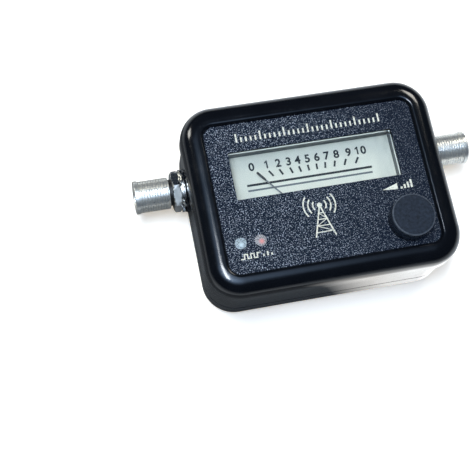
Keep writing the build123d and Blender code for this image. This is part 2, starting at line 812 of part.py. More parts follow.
# Meter cover: clear sheet with a raised pane that fills the window
with BuildPart() as meter_cover:
    with BuildSketch(Plane.XY.offset(cover_seat)):
        Polygon(*meter_corners(0), align=None)
    extrude(amount=cover_thickness)
    with BuildSketch(Plane.XY.offset(cover_top)):
        with Locations((window_x, window_y)):
            RectangleRounded(
                window_width - 2 * cover_window_gap,
                window_height - 2 * cover_window_gap,
                window_corner,
            )
    extrude(amount=cover_window_level - cover_top)
meter_cover.part.label = "meter_cover"
export_step(meter_cover.part, "parts/meter_cover.step")

# Dial plate on the bar's floor
with BuildPart() as meter_dial:
    with BuildSketch(Plane.XY.offset(dial_level - dial_thickness)):
        with Locations((window_x, (bar_top - meter_wall + dial_bottom) / 2)):
            Rectangle(window_width - 2 * dial_gap, bar_top - meter_wall - dial_bottom - 2 * dial_gap)
    extrude(amount=dial_thickness)
meter_dial.part.label = "meter_dial"
export_step(meter_dial.part, "parts/meter_dial.step")

# Pointer stops on the dial's lower edge, one at each end of the swing
with BuildPart() as pointer_stops:
    for angle in stop_angles:
        with BuildSketch(at_pivot(dial_level, angle)):
            with Locations((0, stop_up / cos(radians(angle)))):
                Circle(stop_radius)
        extrude(amount=stop_height)
pointer_stops.part.label = "pointer_stops"
export_step(pointer_stops.part, "parts/pointer_stops.step")

# Lower bridge: a strip across the stem's floor under the yoke, with a jewel on it
with BuildPart() as lower_bridge:
    with BuildSketch(at_pivot(stem_floor_top)):
        Rectangle(2 * yoke_radius, bridge_width)
    extrude(amount=bridge_thickness)
lower_bridge.part.label = "lower_bridge"
export_step(lower_bridge.part, "parts/lower_bridge.step")

# Yoke: soft iron ring round the coil
with BuildPart() as meter_yoke:
    with BuildSketch(at_pivot(yoke_level)):
        Circle(yoke_radius)
        Circle(yoke_bore_radius, mode=Mode.SUBTRACT)
    extrude(amount=yoke_height)
meter_yoke.part.label = "meter_yoke"
export_step(meter_yoke.part, "parts/meter_yoke.step")

# Core magnet inside the coil
with BuildPart() as meter_magnet:
    with BuildSketch(at_pivot(magnet_level)):
        Circle(magnet_radius)
    extrude(amount=magnet_height)
meter_magnet.part.label = "meter_magnet"
export_step(meter_magnet.part, "parts/meter_magnet.step")

# Magnet supports: two lugs from the yoke to the magnet, clear of the coil's travel
with BuildPart() as magnet_supports:
    with BuildSketch(at_pivot(magnet_level + (magnet_height - magnet_support_height) / 2)):
        Circle(yoke_bore_radius)
        Circle(magnet_radius, mode=Mode.SUBTRACT)
        Rectangle(magnet_support_width, 2 * yoke_bore_radius, mode=Mode.INTERSECT)
    extrude(amount=magnet_support_height)
magnet_supports.part.label = "magnet_supports"
export_step(magnet_supports.part, "parts/magnet_supports.step")

# Upper bridge: two pillars on the yoke, a strip over the pointer and an arm for the spring
with BuildPart() as upper_bridge:
    with BuildSketch(at_pivot(coil_top)):
        with GridLocations(2 * pillar_x, 0, 2, 1):
            Circle(pillar_radius)
    extrude(amount=upper_bridge_level - coil_top)
    with BuildSketch(at_pivot(upper_bridge_level)):
        Rectangle(2 * (pillar_x + pillar_radius), bridge_width / 2)
        Circle(bridge_width / 2)
        Circle(jewel_radius, mode=Mode.SUBTRACT)
    extrude(amount=bridge_thickness)
    with BuildSketch(at_pivot(spring_level)):
        with Locations(((spring_outer_radius + pillar_x) / 2, 0)):
            Rectangle(pillar_x - spring_outer_radius - spring_strip, 2 * pivot_radius)
    extrude(amount=spring_height)
upper_bridge.part.label = "upper_bridge"
export_step(upper_bridge.part, "parts/upper_bridge.step")

# Bearing jewels: a cup on the lower bridge and one in the upper bridge
with BuildPart() as bearing_jewels:
    with BuildSketch(at_pivot(yoke_level)):
        Circle(jewel_radius)
    extrude(amount=lower_jewel_height)
    with BuildSketch(at_pivot(lower_jewel_top)):
        Circle(pivot_radius + pivot_gap)
    extrude(amount=-(pivot_engagement + pivot_gap), mode=Mode.SUBTRACT)
    with BuildSketch(at_pivot(upper_jewel_level)):
        Circle(jewel_radius)
    extrude(amount=upper_bridge_top - upper_jewel_level)
    with BuildSketch(at_pivot(upper_jewel_level)):
        Circle(pivot_radius + pivot_gap)
    extrude(amount=pivot_engagement + pivot_gap, mode=Mode.SUBTRACT)
bearing_jewels.part.label = "bearing_jewels"
export_step(bearing_jewels.part, "parts/bearing_jewels.step")

# Hairspring: flat spiral of half turns from the pivot out to the upper bridge's arm
with BuildPart() as hairspring:
    with BuildSketch(at_pivot(spring_level)):
        with BuildLine():
            for half_turn in range(spring_half_turns):
                start = spring_inner_radius + half_turn * spring_pitch / 2
                end = start + spring_pitch / 2
                across = 1 if half_turn % 2 == spring_half_turns % 2 else -1
                RadiusArc((across * start, 0), (-across * end, 0), (start + end) / 2)
        trace(line_width=spring_strip)
    extrude(amount=spring_height)
hairspring.part.label = "hairspring"
export_step(hairspring.part, "parts/hairspring.step")

# Moving coil: rectangular loop round the magnet, turned with the pointer
with BuildPart() as moving_coil:
    coil_reach = magnet_radius + coil_gap + coil_radial
    with BuildSketch(at_pivot(coil_level, pointer_rest_angle)):
        Rectangle(2 * coil_reach, coil_width)
    extrude(amount=coil_top - coil_level)
    with BuildSketch(at_pivot(coil_level + coil_wall, pointer_rest_angle)):
        Rectangle(2 * (coil_reach - coil_radial), coil_width)
    extrude(amount=coil_top - coil_level - 2 * coil_wall, mode=Mode.SUBTRACT)
moving_coil.part.label = "moving_coil"
export_step(moving_coil.part, "parts/moving_coil.step")

# Coil pivots: a stub under the coil and a longer one up through the pointer
with BuildPart() as coil_pivots:
    with BuildSketch(at_pivot(coil_level)):
        Circle(pivot_radius)
    extrude(amount=lower_pivot_end - coil_level)
    with BuildSketch(at_pivot(coil_top)):
        Circle(pivot_radius)
    extrude(amount=upper_pivot_end - coil_top)
coil_pivots.part.label = "coil_pivots"
export_step(coil_pivots.part, "parts/coil_pivots.step")

# Pointer: tapered needle, hub on the upper pivot, and a tail with a balance weight
with BuildPart() as pointer:
    with BuildSketch(at_pivot(pointer_level, pointer_rest_angle)):
        with BuildLine():
            Polyline(
                (-pointer_root_width / 2, -pointer_tail),
                (-pointer_tip_width / 2, pointer_length),
                (pointer_tip_width / 2, pointer_length),
                (pointer_root_width / 2, -pointer_tail),
                close=True,
            )
        make_face()
        Circle(pointer_hub_radius)
        with Locations((0, -pointer_tail)):
            Circle(pointer_weight_radius)
    extrude(amount=pointer_thickness)
    with BuildSketch(at_pivot(pointer_level, pointer_rest_angle)):
        with Locations((0, -pointer_tail)):
            Circle(pointer_weight_radius)
    extrude(amount=-pointer_weight_height)
    with BuildSketch(at_pivot(pointer_level)):
        Circle(pivot_radius)
    extrude(amount=pointer_thickness, mode=Mode.SUBTRACT)
pointer.part.label = "pointer"
export_step(pointer.part, "parts/pointer.step")

# Meter terminals: pins from the stem's floor down into the board
with BuildPart() as meter_terminals:
    with BuildSketch(Plane.XY.offset(lead_end)):
        with Locations((pivot_x, pivot_y - terminal_drop)):
            with GridLocations(2 * terminal_spread, 0, 2, 1):
                Circle(terminal_radius)
    extrude(amount=stem_floor_top - lead_end)
meter_terminals.part.label = "meter_terminals"
export_step(meter_terminals.part, "parts/meter_terminals.step")

# Buzzer with a sound port in its top
with BuildPart() as buzzer:
    with BuildSketch(Plane.XY.offset(board_top)):
        with Locations(on_board(buzzer_share)):
            Circle(buzzer_radius)
    extrude(amount=buzzer_height)
    with BuildSketch(Plane.XY.offset(board_top + buzzer_height)):
        with Locations(on_board(buzzer_share)):
            Circle(buzzer_port_radius)
    extrude(amount=-buzzer_port_depth, mode=Mode.SUBTRACT)
buzzer.part.label = "buzzer"
export_step(buzzer.part, "parts/buzzer.step")

# Shield: folded tin box over the detector, open towards the board
with BuildPart() as detector_shield:
    with BuildSketch(Plane.XY.offset(board_top)):
        with Locations(on_board(shield_share)):
            Rectangle(shield_width, shield_depth)
    extrude(amount=shield_height)
    with BuildSketch(Plane.XY.offset(board_top)):
        with Locations(on_board(shield_share)):
            Rectangle(shield_width - 2 * shield_wall, shield_depth - 2 * shield_wall)
    extrude(amount=shield_height - shield_wall, mode=Mode.SUBTRACT)
detector_shield.part.label = "detector_shield"
export_step(detector_shield.part, "parts/detector_shield.step")

# Amplifier chip on two rows of pins
with BuildPart() as amplifier_chip:
    with BuildSketch(Plane.XY.offset(board_top + chip_lift)):
        with Locations(on_board(chip_share)):
            Rectangle(chip_length, chip_width)
    extrude(amount=chip_height)
    with BuildSketch(Plane.XY.offset(board_top)):
        with Locations(on_board(chip_share)):
            with GridLocations(chip_pin_pitch, chip_width, chip_pins_a_side, 2):
                Rectangle(chip_pin_width, chip_pin_width)
    extrude(amount=chip_lift + chip_height / 2)
amplifier_chip.part.label = "amplifier_chip"
export_step(amplifier_chip.part, "parts/amplifier_chip.step")

# Electrolytic capacitors standing on the board
with BuildPart() as capacitors:
    with BuildSketch(Plane.XY.offset(board_top)):
        with Locations(*map(on_board, capacitor_shares)):
            Circle(capacitor_radius)
    extrude(amount=capacitor_height)
    chamfer(capacitors.edges().group_by(Axis.Z)[-1], length=capacitor_edge)
capacitors.part.label = "capacitors"
export_step(capacitors.part, "parts/capacitors.step")

# Supply chokes lying on the board, one behind each connector
with BuildPart() as chokes:
    for share in choke_shares:
        middle = (*on_board(share), board_top + choke_radius)
        with BuildSketch(Plane(origin=middle, x_dir=(0, 1, 0), z_dir=(1, 0, 0))):
            Circle(choke_radius)
        extrude(amount=choke_length / 2, both=True)
chokes.part.label = "chokes"
export_step(chokes.part, "parts/chokes.step")

# Resistors lying on the board under the lamps
with BuildPart() as resistors:
    for row in range(resistor_count):
        resistor_x, resistor_y = on_board(resistor_share)
        rise = (row - (resistor_count - 1) / 2) * resistor_pitch
        middle = (resistor_x, resistor_y + rise, board_top + resistor_radius)
        with BuildSketch(Plane(origin=middle, x_dir=(0, 1, 0), z_dir=(1, 0, 0))):
            Circle(resistor_radius)
        extrude(amount=resistor_length / 2, both=True)
resistors.part.label = "resistors"
export_step(resistors.part, "parts/resistors.step")

# Ceramic disc capacitors standing on edge
with BuildPart() as disc_capacitors:
    for share in disc_shares:
        middle = (*on_board(share), board_top + disc_radius)
        with BuildSketch(Plane(origin=middle, x_dir=(1, 0, 0), z_dir=(0, 1, 0))):
            Circle(disc_radius)
        extrude(amount=disc_thickness / 2, both=True)
disc_capacitors.part.label = "disc_capacitors"
export_step(disc_capacitors.part, "parts/disc_capacitors.step")

# Transistors: round bodies with one flat side
with BuildPart() as transistors:
    with BuildSketch(Plane.XY.offset(board_top)):
        with Locations(*map(on_board, transistor_shares)):
            Circle(transistor_radius)
        with Locations(*map(on_board, transistor_shares)):
            with Locations((0, transistor_flat + transistor_radius)):
                Rectangle(2 * transistor_radius, 2 * transistor_radius, mode=Mode.SUBTRACT)
    extrude(amount=transistor_height)
transistors.part.label = "transistors"
export_step(transistors.part, "parts/transistors.step")
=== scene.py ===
import json
from functools import partial
from math import atan2, cos, hypot, pi, radians, sin

import bmesh
import bpy
from mathutils import Matrix, Vector


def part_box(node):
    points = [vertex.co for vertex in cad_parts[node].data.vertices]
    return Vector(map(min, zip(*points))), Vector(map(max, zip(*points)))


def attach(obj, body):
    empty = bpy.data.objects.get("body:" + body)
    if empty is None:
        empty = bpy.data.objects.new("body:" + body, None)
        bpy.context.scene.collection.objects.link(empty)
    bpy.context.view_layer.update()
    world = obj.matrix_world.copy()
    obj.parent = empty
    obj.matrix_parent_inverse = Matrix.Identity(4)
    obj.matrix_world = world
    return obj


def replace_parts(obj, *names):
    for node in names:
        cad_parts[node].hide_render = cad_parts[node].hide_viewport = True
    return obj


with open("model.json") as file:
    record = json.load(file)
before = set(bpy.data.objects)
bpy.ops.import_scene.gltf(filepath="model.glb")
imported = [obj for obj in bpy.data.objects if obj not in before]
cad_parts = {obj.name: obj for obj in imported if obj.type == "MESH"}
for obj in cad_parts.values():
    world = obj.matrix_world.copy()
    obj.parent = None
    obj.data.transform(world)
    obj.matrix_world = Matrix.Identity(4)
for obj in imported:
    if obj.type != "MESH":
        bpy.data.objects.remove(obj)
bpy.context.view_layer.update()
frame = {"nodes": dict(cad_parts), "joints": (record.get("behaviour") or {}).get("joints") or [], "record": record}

MM = 0.001
slots = {part["node"]: part["material_slot"] for part in frame["record"]["subparts"]}

# Camera, fitted to the outlines of window, label and shells
camera_place = (-75.654 * MM, -96.518 * MM, 326.627 * MM)
camera_right = (0.975852412, -0.194940076, 0.098541547)
camera_up = (0.158852928, 0.943010277, 0.292399324)
camera_back = (-0.149926038, -0.269684972, 0.951205656)
focal_pixels = 1100
image_pixels = 470
sensor = 36.0

# Face
label_low, label_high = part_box("face_label")
label_bottom_level, label_level = label_low.z, label_high.z
label_middle = (label_low + label_high) / 2
label_corner = 3.25 * MM
label_bevel = 0.06 * MM
ink_height = 0.012 * MM
knob_low, knob_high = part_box("knob")
knob_middle = (knob_low + knob_high) / 2
knob_radius = (knob_high.x - knob_low.x) / 2
shaft_hole_radius = 3.4 * MM
lamp_window_radius = 1.72 * MM
lamp_window_gap = 0.03 * MM
lamps = {}
for lamp in ("left_lamp", "right_lamp"):
    lamp_low, lamp_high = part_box(lamp)
    lamps[lamp] = (lamp_low + lamp_high) / 2
window_centre = (-0.6 * MM, 6.15 * MM)
window_size = (50.0 * MM, 14.8 * MM)
window_corner = 0.4 * MM

# Dial. The places across it are in millimetres, and a line is left end, right end, level and width.
dial_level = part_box("meter_dial")[1].z
digit_height = 2.5 * MM
digit_share_of_font = 0.73
digit_weight = 0.075 * MM
digit_bevel = 0.035 * MM
digit_middle = 9.85 * MM
digit_places = [-18.68, -14.05, -10.5, -7.3, -4.5, -1.5, 1.42, 4.42, 7.5, 11.28]
ten_places = (14.05, 15.98)
tick_places = [-13.2, -10.12, -7.0, -4.32, -1.72, 0.85, 3.47, 6.4, 9.68, 13.32]
tick_middle = 6.85 * MM
tick_rise = 1.85 * MM
tick_width = 0.6 * MM
scale_line = (-21.1, 17.4, 4.08, 0.7)
second_line = (-21.1, 17.25, 2.42, 0.58)
pivot = Vector(next(joint for joint in frame["joints"] if joint["name"] == "pointer_swing")["pos_m"])

# Aerial connectors: radii, and distances along the axis
bore, root, shank, crest, lip = 3.4 * MM, 3.95 * MM, 4.5 * MM, 4.8 * MM, 5.05 * MM
lip_length = 1.37 * MM
lip_round = 0.3 * MM
lip_steps = 6
thread_depth = 0.2 * MM
thread_pitch = 25.4 / 32 * MM
steps_per_turn = 16
ring_steps = 96
hexagon_inner = 5.5 * MM
hexagon_length = 2.4 * MM
corner_cut = hexagon_inner / cos(pi / 6) - hexagon_inner


# Outlines: lists of points in the face's plane
def circle(centre, radius, steps=64):
    angles = [2 * pi * k / steps for k in range(steps)]
    return [(centre[0] + radius * cos(angle), centre[1] + radius * sin(angle)) for angle in angles]


def rounded_rectangle(centre, width, height, radius, steps=12):
    points = []
    for quarter, (sx, sy) in enumerate(((1, 1), (-1, 1), (-1, -1), (1, -1))):
        middle = (centre[0] + sx * (width / 2 - radius), centre[1] + sy * (height / 2 - radius))
        for k in range(steps + 1):
            angle = (quarter + k / steps) * pi / 2
            points.append((middle[0] + radius * cos(angle), middle[1] + radius * sin(angle)))
    return points


def bar(start, end, width):
    """Outline of a straight stroke with square ends."""
    start, end = Vector(start), Vector(end)
    along = (end - start).normalized() * width / 2
    across = Vector((-along.y, along.x))
    return [start - across, end - across, end + across, start + across]


def arc_band(centre, radius, width, first, last, steps=24):
    """Outline of a curved stroke between two angles in degrees."""
    angles = [radians(first + (last - first) * k / steps) for k in range(steps + 1)]

    def arc(reach):
        return [(centre[0] + reach * cos(angle), centre[1] + reach * sin(angle)) for angle in angles]

    return arc(radius + width / 2) + arc(radius - width / 2)[::-1]


def rounded(profile, corner, radius, start, end, steps=8):
    """Adds a round to a profile, about a corner's middle from one angle to another in degrees."""
    for k in range(steps + 1):
        angle = radians(start + (end - start) * k / steps)
        profile.append((corner[0] + radius * cos(angle), corner[1] + radius * sin(angle)))


# Meshes
def curve_mesh(curve):
    """Mesh of a filled curve or text, with its doubled edge points joined."""
    holder = bpy.data.objects.new("holder", curve)
    bpy.context.scene.collection.objects.link(holder)
    mesh = bpy.data.meshes.new_from_object(holder.evaluated_get(bpy.context.evaluated_depsgraph_get()))
    bpy.data.objects.remove(holder)
    bpy.data.curves.remove(curve)
    cleaned = bmesh.new()
    cleaned.from_mesh(mesh)
    bmesh.ops.remove_doubles(cleaned, verts=cleaned.verts, dist=0.0005 * MM)
    cleaned.to_mesh(mesh)
    cleaned.free()
    return mesh


def plate_mesh(outlines, bottom, top, bevel=0.0):
    """Solid sheet between two levels. Outlines inside others are holes."""
    curve = bpy.data.curves.new("plate", "CURVE")
    curve.dimensions = "2D"
    curve.fill_mode = "BOTH"
    curve.extrude = (top - bottom) / 2 - bevel
    curve.bevel_depth = bevel
    curve.bevel_resolution = 3
    curve.offset = -bevel
    for outline in outlines:
        spline = curve.splines.new("POLY")
        spline.points.add(len(outline) - 1)
        for point, place in zip(spline.points, outline):
            point.co = (place[0], place[1], 0, 1)
        spline.use_cyclic_u = True
    mesh = curve_mesh(curve)
    mesh.transform(Matrix.Translation((0, 0, (top + bottom) / 2)))
    return mesh


def joined(meshes):
    """One mesh of several."""
    whole = bmesh.new()
    for mesh in meshes:
        whole.from_mesh(mesh)
        bpy.data.meshes.remove(mesh)
    mesh = bpy.data.meshes.new("joined")
    whole.to_mesh(mesh)
    whole.free()
    return mesh


def grid_mesh(rows, closed_ends=False):
    """Mesh through rows of points, each row a closed ring with as many points as the others."""
    net = bmesh.new()
    rings = [[net.verts.new(point) for point in row] for row in rows]
    for one, other in zip(rings, rings[1:]):
        for k in range(len(one)):
            after = (k + 1) % len(one)
            net.faces.new((one[k], one[after], other[after], other[k]))
    if closed_ends:
        net.faces.new(rings[0][::-1])
        net.faces.new(rings[-1])
    bmesh.ops.recalc_face_normals(net, faces=net.faces)
    mesh = bpy.data.meshes.new("grid")
    net.to_mesh(mesh)
    net.free()
    return mesh


def lathe(profile, centre, steps=96):
    """Mesh of a profile of (radius, level) turned about a vertical axis, with a tiny face at each end."""
    rows = []
    for radius, level in profile:
        rows.append([(*point, level) for point in circle(centre, max(radius, 0.001 * MM), steps)])
    return grid_mesh(rows, closed_ends=True)


# Objects
# CAD slots that pieces with a finish of their own belong to
slot_of_finish = {
    "label_ink": "label_film",
    "dial_ink": "dial_paint",
    "dial_grey_ink": "dial_paint",
    "pointer_metal": "pointer_paint",
    "hexagon_plate": "nickel_plate",
}


def link(name, mesh, body, finish, smooth_angle=35):
    """Piece of a mesh that rides on a body, shaded smooth up to an angle in degrees."""
    mesh.name = name
    if smooth_angle:
        mesh.shade_smooth()
        mesh.set_sharp_from_angle(angle=radians(smooth_angle))
    piece = bpy.data.objects.new(name, mesh)
    bpy.context.scene.collection.objects.link(piece)
    mesh.materials.append(materials[finish])
    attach(piece, body)
    slot_of_finish.get(finish, finish)
    return piece


def add_finishes(piece, finishes, number_of):
    """Gives a piece further finishes. number_of tells a face's finish, where 0 is the first one."""
    for finish in finishes:
        piece.data.materials.append(materials[finish])
    for face in piece.data.polygons:
        face.material_index = number_of(face)


# Nodes of materials and of the world, and the numbers of a colour mix's sockets
first_colour, second_colour, mixed_colour = 6, 7, 2
bevel_samples = 4


class Nodes:
    """An emptied node tree and short ways to add to it. A pattern is an output socket."""

    def __init__(self, tree):
        self.tree = tree
        self.tree.nodes.clear()

    def add(self, kind, operation=None):
        node = self.tree.nodes.new(kind)
        if operation:
            node.operation = operation
        return node

    def join(self, source, target):
        self.tree.links.new(source, target)

    def math(self, operation, *operands):
        """Result of an operation on patterns and numbers."""
        node = self.add("ShaderNodeMath", operation)
        for operand, socket in zip(operands, node.inputs):
            if isinstance(operand, float):
                socket.default_value = operand
            else:
                self.join(operand, socket)
        return node.outputs["Value"]

    def times(self, one, other):
        return self.math("MULTIPLY", one, other)

    def compared(self, operation, place, other):
        """Distance or dot product of two vectors. The second is a socket or a fixed one."""
        node = self.add("ShaderNodeVectorMath", operation)
        self.join(place, node.inputs[0])
        if isinstance(other, bpy.types.NodeSocket):
            self.join(other, node.inputs[1])
        else:
            node.inputs[1].default_value = other
        return node.outputs["Value"]

    def spread(self, source, low, high, to_low, to_high):
        """Pattern whose values from low to high are moved to those from to_low to to_high."""
        ranged = self.add("ShaderNodeMapRange")
        ranged.inputs["From Min"].default_value = low
        ranged.inputs["From Max"].default_value = high
        ranged.inputs["To Min"].default_value = to_low
        ranged.inputs["To Max"].default_value = to_high
        self.join(source, ranged.inputs["Value"])
        return ranged.outputs["Result"]

    def mixed(self, factor, first, second):
        """Mix of two shaders."""
        mix = self.add("ShaderNodeMixShader")
        self.join(factor, mix.inputs["Fac"])
        self.join(first, mix.inputs[1])
        self.join(second, mix.inputs[2])
        return mix.outputs["Shader"]


class Finish(Nodes):
    """A node material with one shader and the patterns that feed it."""

    def __init__(self, name, colour, roughness, metallic=0.0, **inputs):
        self.material = bpy.data.materials.new(name)
        self.material.use_nodes = True
        self.material.diffuse_color = (*colour, 1)
        super().__init__(self.material.node_tree)
        self.output = self.add("ShaderNodeOutputMaterial")
        self.shader = self.add("ShaderNodeBsdfPrincipled")
        self.join(self.shader.outputs["BSDF"], self.output.inputs["Surface"])
        self.shader.inputs["Base Color"].default_value = (*colour, 1)
        self.shader.inputs["Roughness"].default_value = roughness
        self.shader.inputs["Metallic"].default_value = metallic
        for label, value in inputs.items():
            self.shader.inputs[label.replace("_", " ")].default_value = value
        self.places = self.add("ShaderNodeTexCoord").outputs["Object"]

    def noise(self, size, detail=3.0, rough=0.55, stretch=(1, 1, 1)):
        """Cloudy pattern whose blotches are about as wide as size, and longer where stretch is small."""
        mapping = self.add("ShaderNodeMapping")
        mapping.inputs["Scale"].default_value = stretch
        self.join(self.places, mapping.inputs["Vector"])
        noise = self.add("ShaderNodeTexNoise")
        noise.inputs["Scale"].default_value = 1 / size
        noise.inputs["Detail"].default_value = detail
        noise.inputs["Roughness"].default_value = rough
        self.join(mapping.outputs["Vector"], noise.inputs["Vector"])
        return noise.outputs["Fac"]

    def away(self, centre):
        """Distance from a place."""
        return self.compared("DISTANCE", self.places, centre)

    def rounded_edges(self, width):
        """Normals of the surface with its edges rounded off."""
        bevel = self.add("ShaderNodeBevel")
        bevel.samples = bevel_samples
        bevel.inputs["Radius"].default_value = width
        return bevel.outputs["Normal"]

    def edges(self, width):
        """1 along convex and concave edges, 0 on flats."""
        surface = self.add("ShaderNodeNewGeometry").outputs["Normal"]
        alike = self.compared("DOT_PRODUCT", self.rounded_edges(width), surface)
        return self.spread(alike, 0.98, 0.8, 0.0, 1.0)

    def blend(self, factor, first, second):
        """Mix of two colours, each a colour or a socket."""
        mix = self.add("ShaderNodeMix")
        mix.data_type = "RGBA"
        self.join(factor, mix.inputs["Factor"])
        for value, socket in ((first, mix.inputs[first_colour]), (second, mix.inputs[second_colour])):
            if isinstance(value, tuple):
                socket.default_value = (*value, 1)
            else:
                self.join(value, socket)
        return mix.outputs[mixed_colour]

    def tint(self, factor, first, second):
        """Colours the surface with a blend."""
        self.join(self.blend(factor, first, second), self.shader.inputs["Base Color"])

    def gloss(self, factor, low, high):
        """Roughness that follows the middle half of a pattern."""
        self.join(self.spread(factor, 0.25, 0.75, low, high), self.shader.inputs["Roughness"])

    def relief(self, *layers, edge=0.0):
        """Bump from layers of (pattern, depth), over a shaded rounding of the edges."""
        normal = self.rounded_edges(edge) if edge else None
        for pattern, depth in layers:
            bump = self.add("ShaderNodeBump")
            bump.inputs["Distance"].default_value = depth
            self.join(pattern, bump.inputs["Height"])
            if normal:
                self.join(normal, bump.inputs["Normal"])
            normal = bump.outputs["Normal"]
        self.join(normal, self.shader.inputs["Normal"])


def scaled(colour, factor):
    return tuple(min(1.0, channel * factor) for channel in colour)


# Materials
def moulded_plastic(name, colour, roughness):
    """Moulded plastic: cloudy colour, uneven gloss, fine texture, edges rubbed lighter."""
    finish = Finish(name, colour, roughness)
    clouds = finish.noise(9 * MM, 4)
    rubbed = finish.times(finish.edges(0.25 * MM), finish.noise(1.5 * MM, 3))
    base = finish.blend(clouds, scaled(colour, 0.88), scaled(colour, 1.12))
    finish.tint(rubbed, base, scaled(colour, 1.6))
    finish.gloss(finish.noise(4 * MM, 5), roughness * 0.85, roughness * 1.2)
    finish.relief((finish.noise(0.3 * MM, 2), 0.004 * MM), edge=0.12 * MM)
    return finish.material


def worn_knob(name, colour, rim_highlight_colour, centre):
    """Matt moulding, handled: faint rings round its middle, mottled, its rim smoother, with a painted highlight
    round it.
    """
    finish = Finish(name, colour, 0.42, Specular_IOR_Level=0.155)
    reach = finish.away(centre)
    noise = finish.add("ShaderNodeTexNoise")
    noise.noise_dimensions = "1D"
    noise.inputs["Scale"].default_value = 1 / (0.45 * MM)
    finish.join(reach, noise.inputs["W"])
    rings = noise.outputs["Fac"]
    mottle = finish.noise(0.9 * MM, 4, 0.65)
    base = finish.blend(finish.spread(mottle, 0.3, 0.7, 0.0, 1.0), scaled(colour, 0.2), scaled(colour, 2.4))
    ringed = finish.blend(finish.spread(rings, 0.35, 0.65, 0.0, 0.5), base, scaled(colour, 1.9))
    # Painted highlight: a lighter ring round the rim of the top
    rim_begins = finish.spread(reach, 5.9 * MM, 6.15 * MM, 0.0, 1.0)
    rim_ends = finish.spread(reach, 6.3 * MM, 6.5 * MM, 1.0, 0.0)
    finish.tint(finish.times(finish.times(rim_begins, rim_ends), mottle), ringed, rim_highlight_colour)
    finish.join(finish.spread(reach, 5.7 * MM, 6.1 * MM, 0.44, 0.24), finish.shader.inputs["Roughness"])
    finish.relief((rings, 0.02 * MM), (mottle, 0.12 * MM), (finish.noise(0.4 * MM, 2), 0.02 * MM))
    return finish.material


def glossy_case(name, colour):
    """Glossy black moulding with faint flow ripple, fine scratches and dull worn patches."""
    finish = Finish(name, colour, 0.12, IOR=1.5)
    scratches = finish.noise(0.5 * MM, 2, stretch=(0.03, 1, 1))
    across = finish.noise(0.5 * MM, 2, stretch=(1, 0.04, 1))
    cloudy_patches = finish.noise(7 * MM, 5, 0.6)
    marks = finish.spread(finish.times(scratches, across), 0.3, 0.42, 0.0, 1.0)
    rubbed = finish.times(finish.edges(0.3 * MM), finish.noise(2 * MM, 3))
    base = finish.blend(cloudy_patches, scaled(colour, 0.8), scaled(colour, 1.5))
    finish.tint(rubbed, base, scaled(colour, 4))
    dull = finish.spread(cloudy_patches, 0.35, 0.75, 0.1, 0.17)
    finish.join(finish.math("MULTIPLY_ADD", marks, 0.1, dull), finish.shader.inputs["Roughness"])
    ripple, texture = finish.noise(6 * MM, 2), finish.noise(0.35 * MM, 2)
    finish.relief((ripple, 0.02 * MM), (texture, 0.0012 * MM), edge=0.1 * MM)
    return finish.material


def grained_film(name, colour, glint_colour):
    """Printed film with a fine pebbled grain: pale specks on a dark ground, which are painted glints, dimmer
    towards the knob as painted shade.
    """
    finish = Finish(name, colour, 0.5, Specular_IOR_Level=0.05)
    grain = finish.noise(0.31 * MM, 1.6, 0.55)
    fine = finish.noise(0.2 * MM, 2)
    sides = finish.add("ShaderNodeSeparateXYZ")
    finish.join(finish.places, sides.inputs["Vector"])
    # Painted glints: pale specks where the grain peaks, dimmer towards the knob as painted shade
    towards_knob = finish.spread(sides.outputs["X"], -8 * MM, 28 * MM, 0.0, 1.0)
    shaded_glint_colour = finish.blend(towards_knob, glint_colour, scaled(glint_colour, 0.38))
    finish.tint(finish.spread(grain, 0.56, 0.69, 0.0, 1.0), colour, shaded_glint_colour)
    finish.gloss(fine, 0.42, 0.58)
    finish.relief((grain, 0.06 * MM), (fine, 0.015 * MM), edge=0.05 * MM)
    return finish.material


def plated_metal(
    name, colour, roughness, tool_marks=(1, 1, 1), tarnish=0.6, edge=0.06 * MM, metallic=1.0, depth=0.002 * MM
):
    """Plated metal: tool marks, tarnish in patches, bright rubbed edges."""
    finish = Finish(name, colour, roughness, metallic)
    patches = finish.noise(2.5 * MM, 5, 0.6)
    lines = finish.noise(0.12 * MM, 2, stretch=tool_marks)
    base = finish.blend(finish.spread(patches, 0.35, 0.7, 0.0, 1.0), colour, scaled(colour, tarnish))
    finish.tint(finish.edges(0.15 * MM), base, scaled(colour, 1.2))
    finish.gloss(patches, roughness * 0.75, roughness * 1.35)
    finish.relief((lines, depth), edge=edge)
    return finish.material


def printed_ink(name, colour, gaps=0.35):
    """Ink that lies on a grained surface: slightly broken and uneven."""
    finish = Finish(name, colour, 0.55, Specular_IOR_Level=0.3)
    worn = finish.spread(finish.noise(0.5 * MM, 3), 0.3, 0.5, 0.0, 1.0)
    finish.tint(worn, scaled(colour, gaps), colour)
    finish.relief((finish.noise(0.4 * MM, 2), 0.03 * MM))
    return finish.material


def painted_dial(name, colour):
    """Matt dial paint with faint dust and ageing, and painted shade in patches near its ends."""
    finish = Finish(name, colour, 0.55)
    clouds = finish.noise(7 * MM, 3, stretch=(1, 0.3, 1))
    base = finish.blend(clouds, scaled(colour, 0.9), scaled(colour, 1.1))
    # Painted shade: darker patches towards the dial's ends
    ends = finish.spread(finish.away((*window_centre, dial_level)), 19 * MM, 25 * MM, 0.0, 1.0)
    cloudy_patches = finish.spread(finish.noise(3.5 * MM, 2, stretch=(1, 0.25, 1)), 0.4, 0.65, 0.0, 1.0)
    finish.tint(finish.times(ends, cloudy_patches), base, scaled(colour, 0.74))
    finish.gloss(finish.noise(1 * MM, 3), 0.5, 0.65)
    finish.relief((finish.noise(0.2 * MM, 3), 0.004 * MM))
    return finish.material


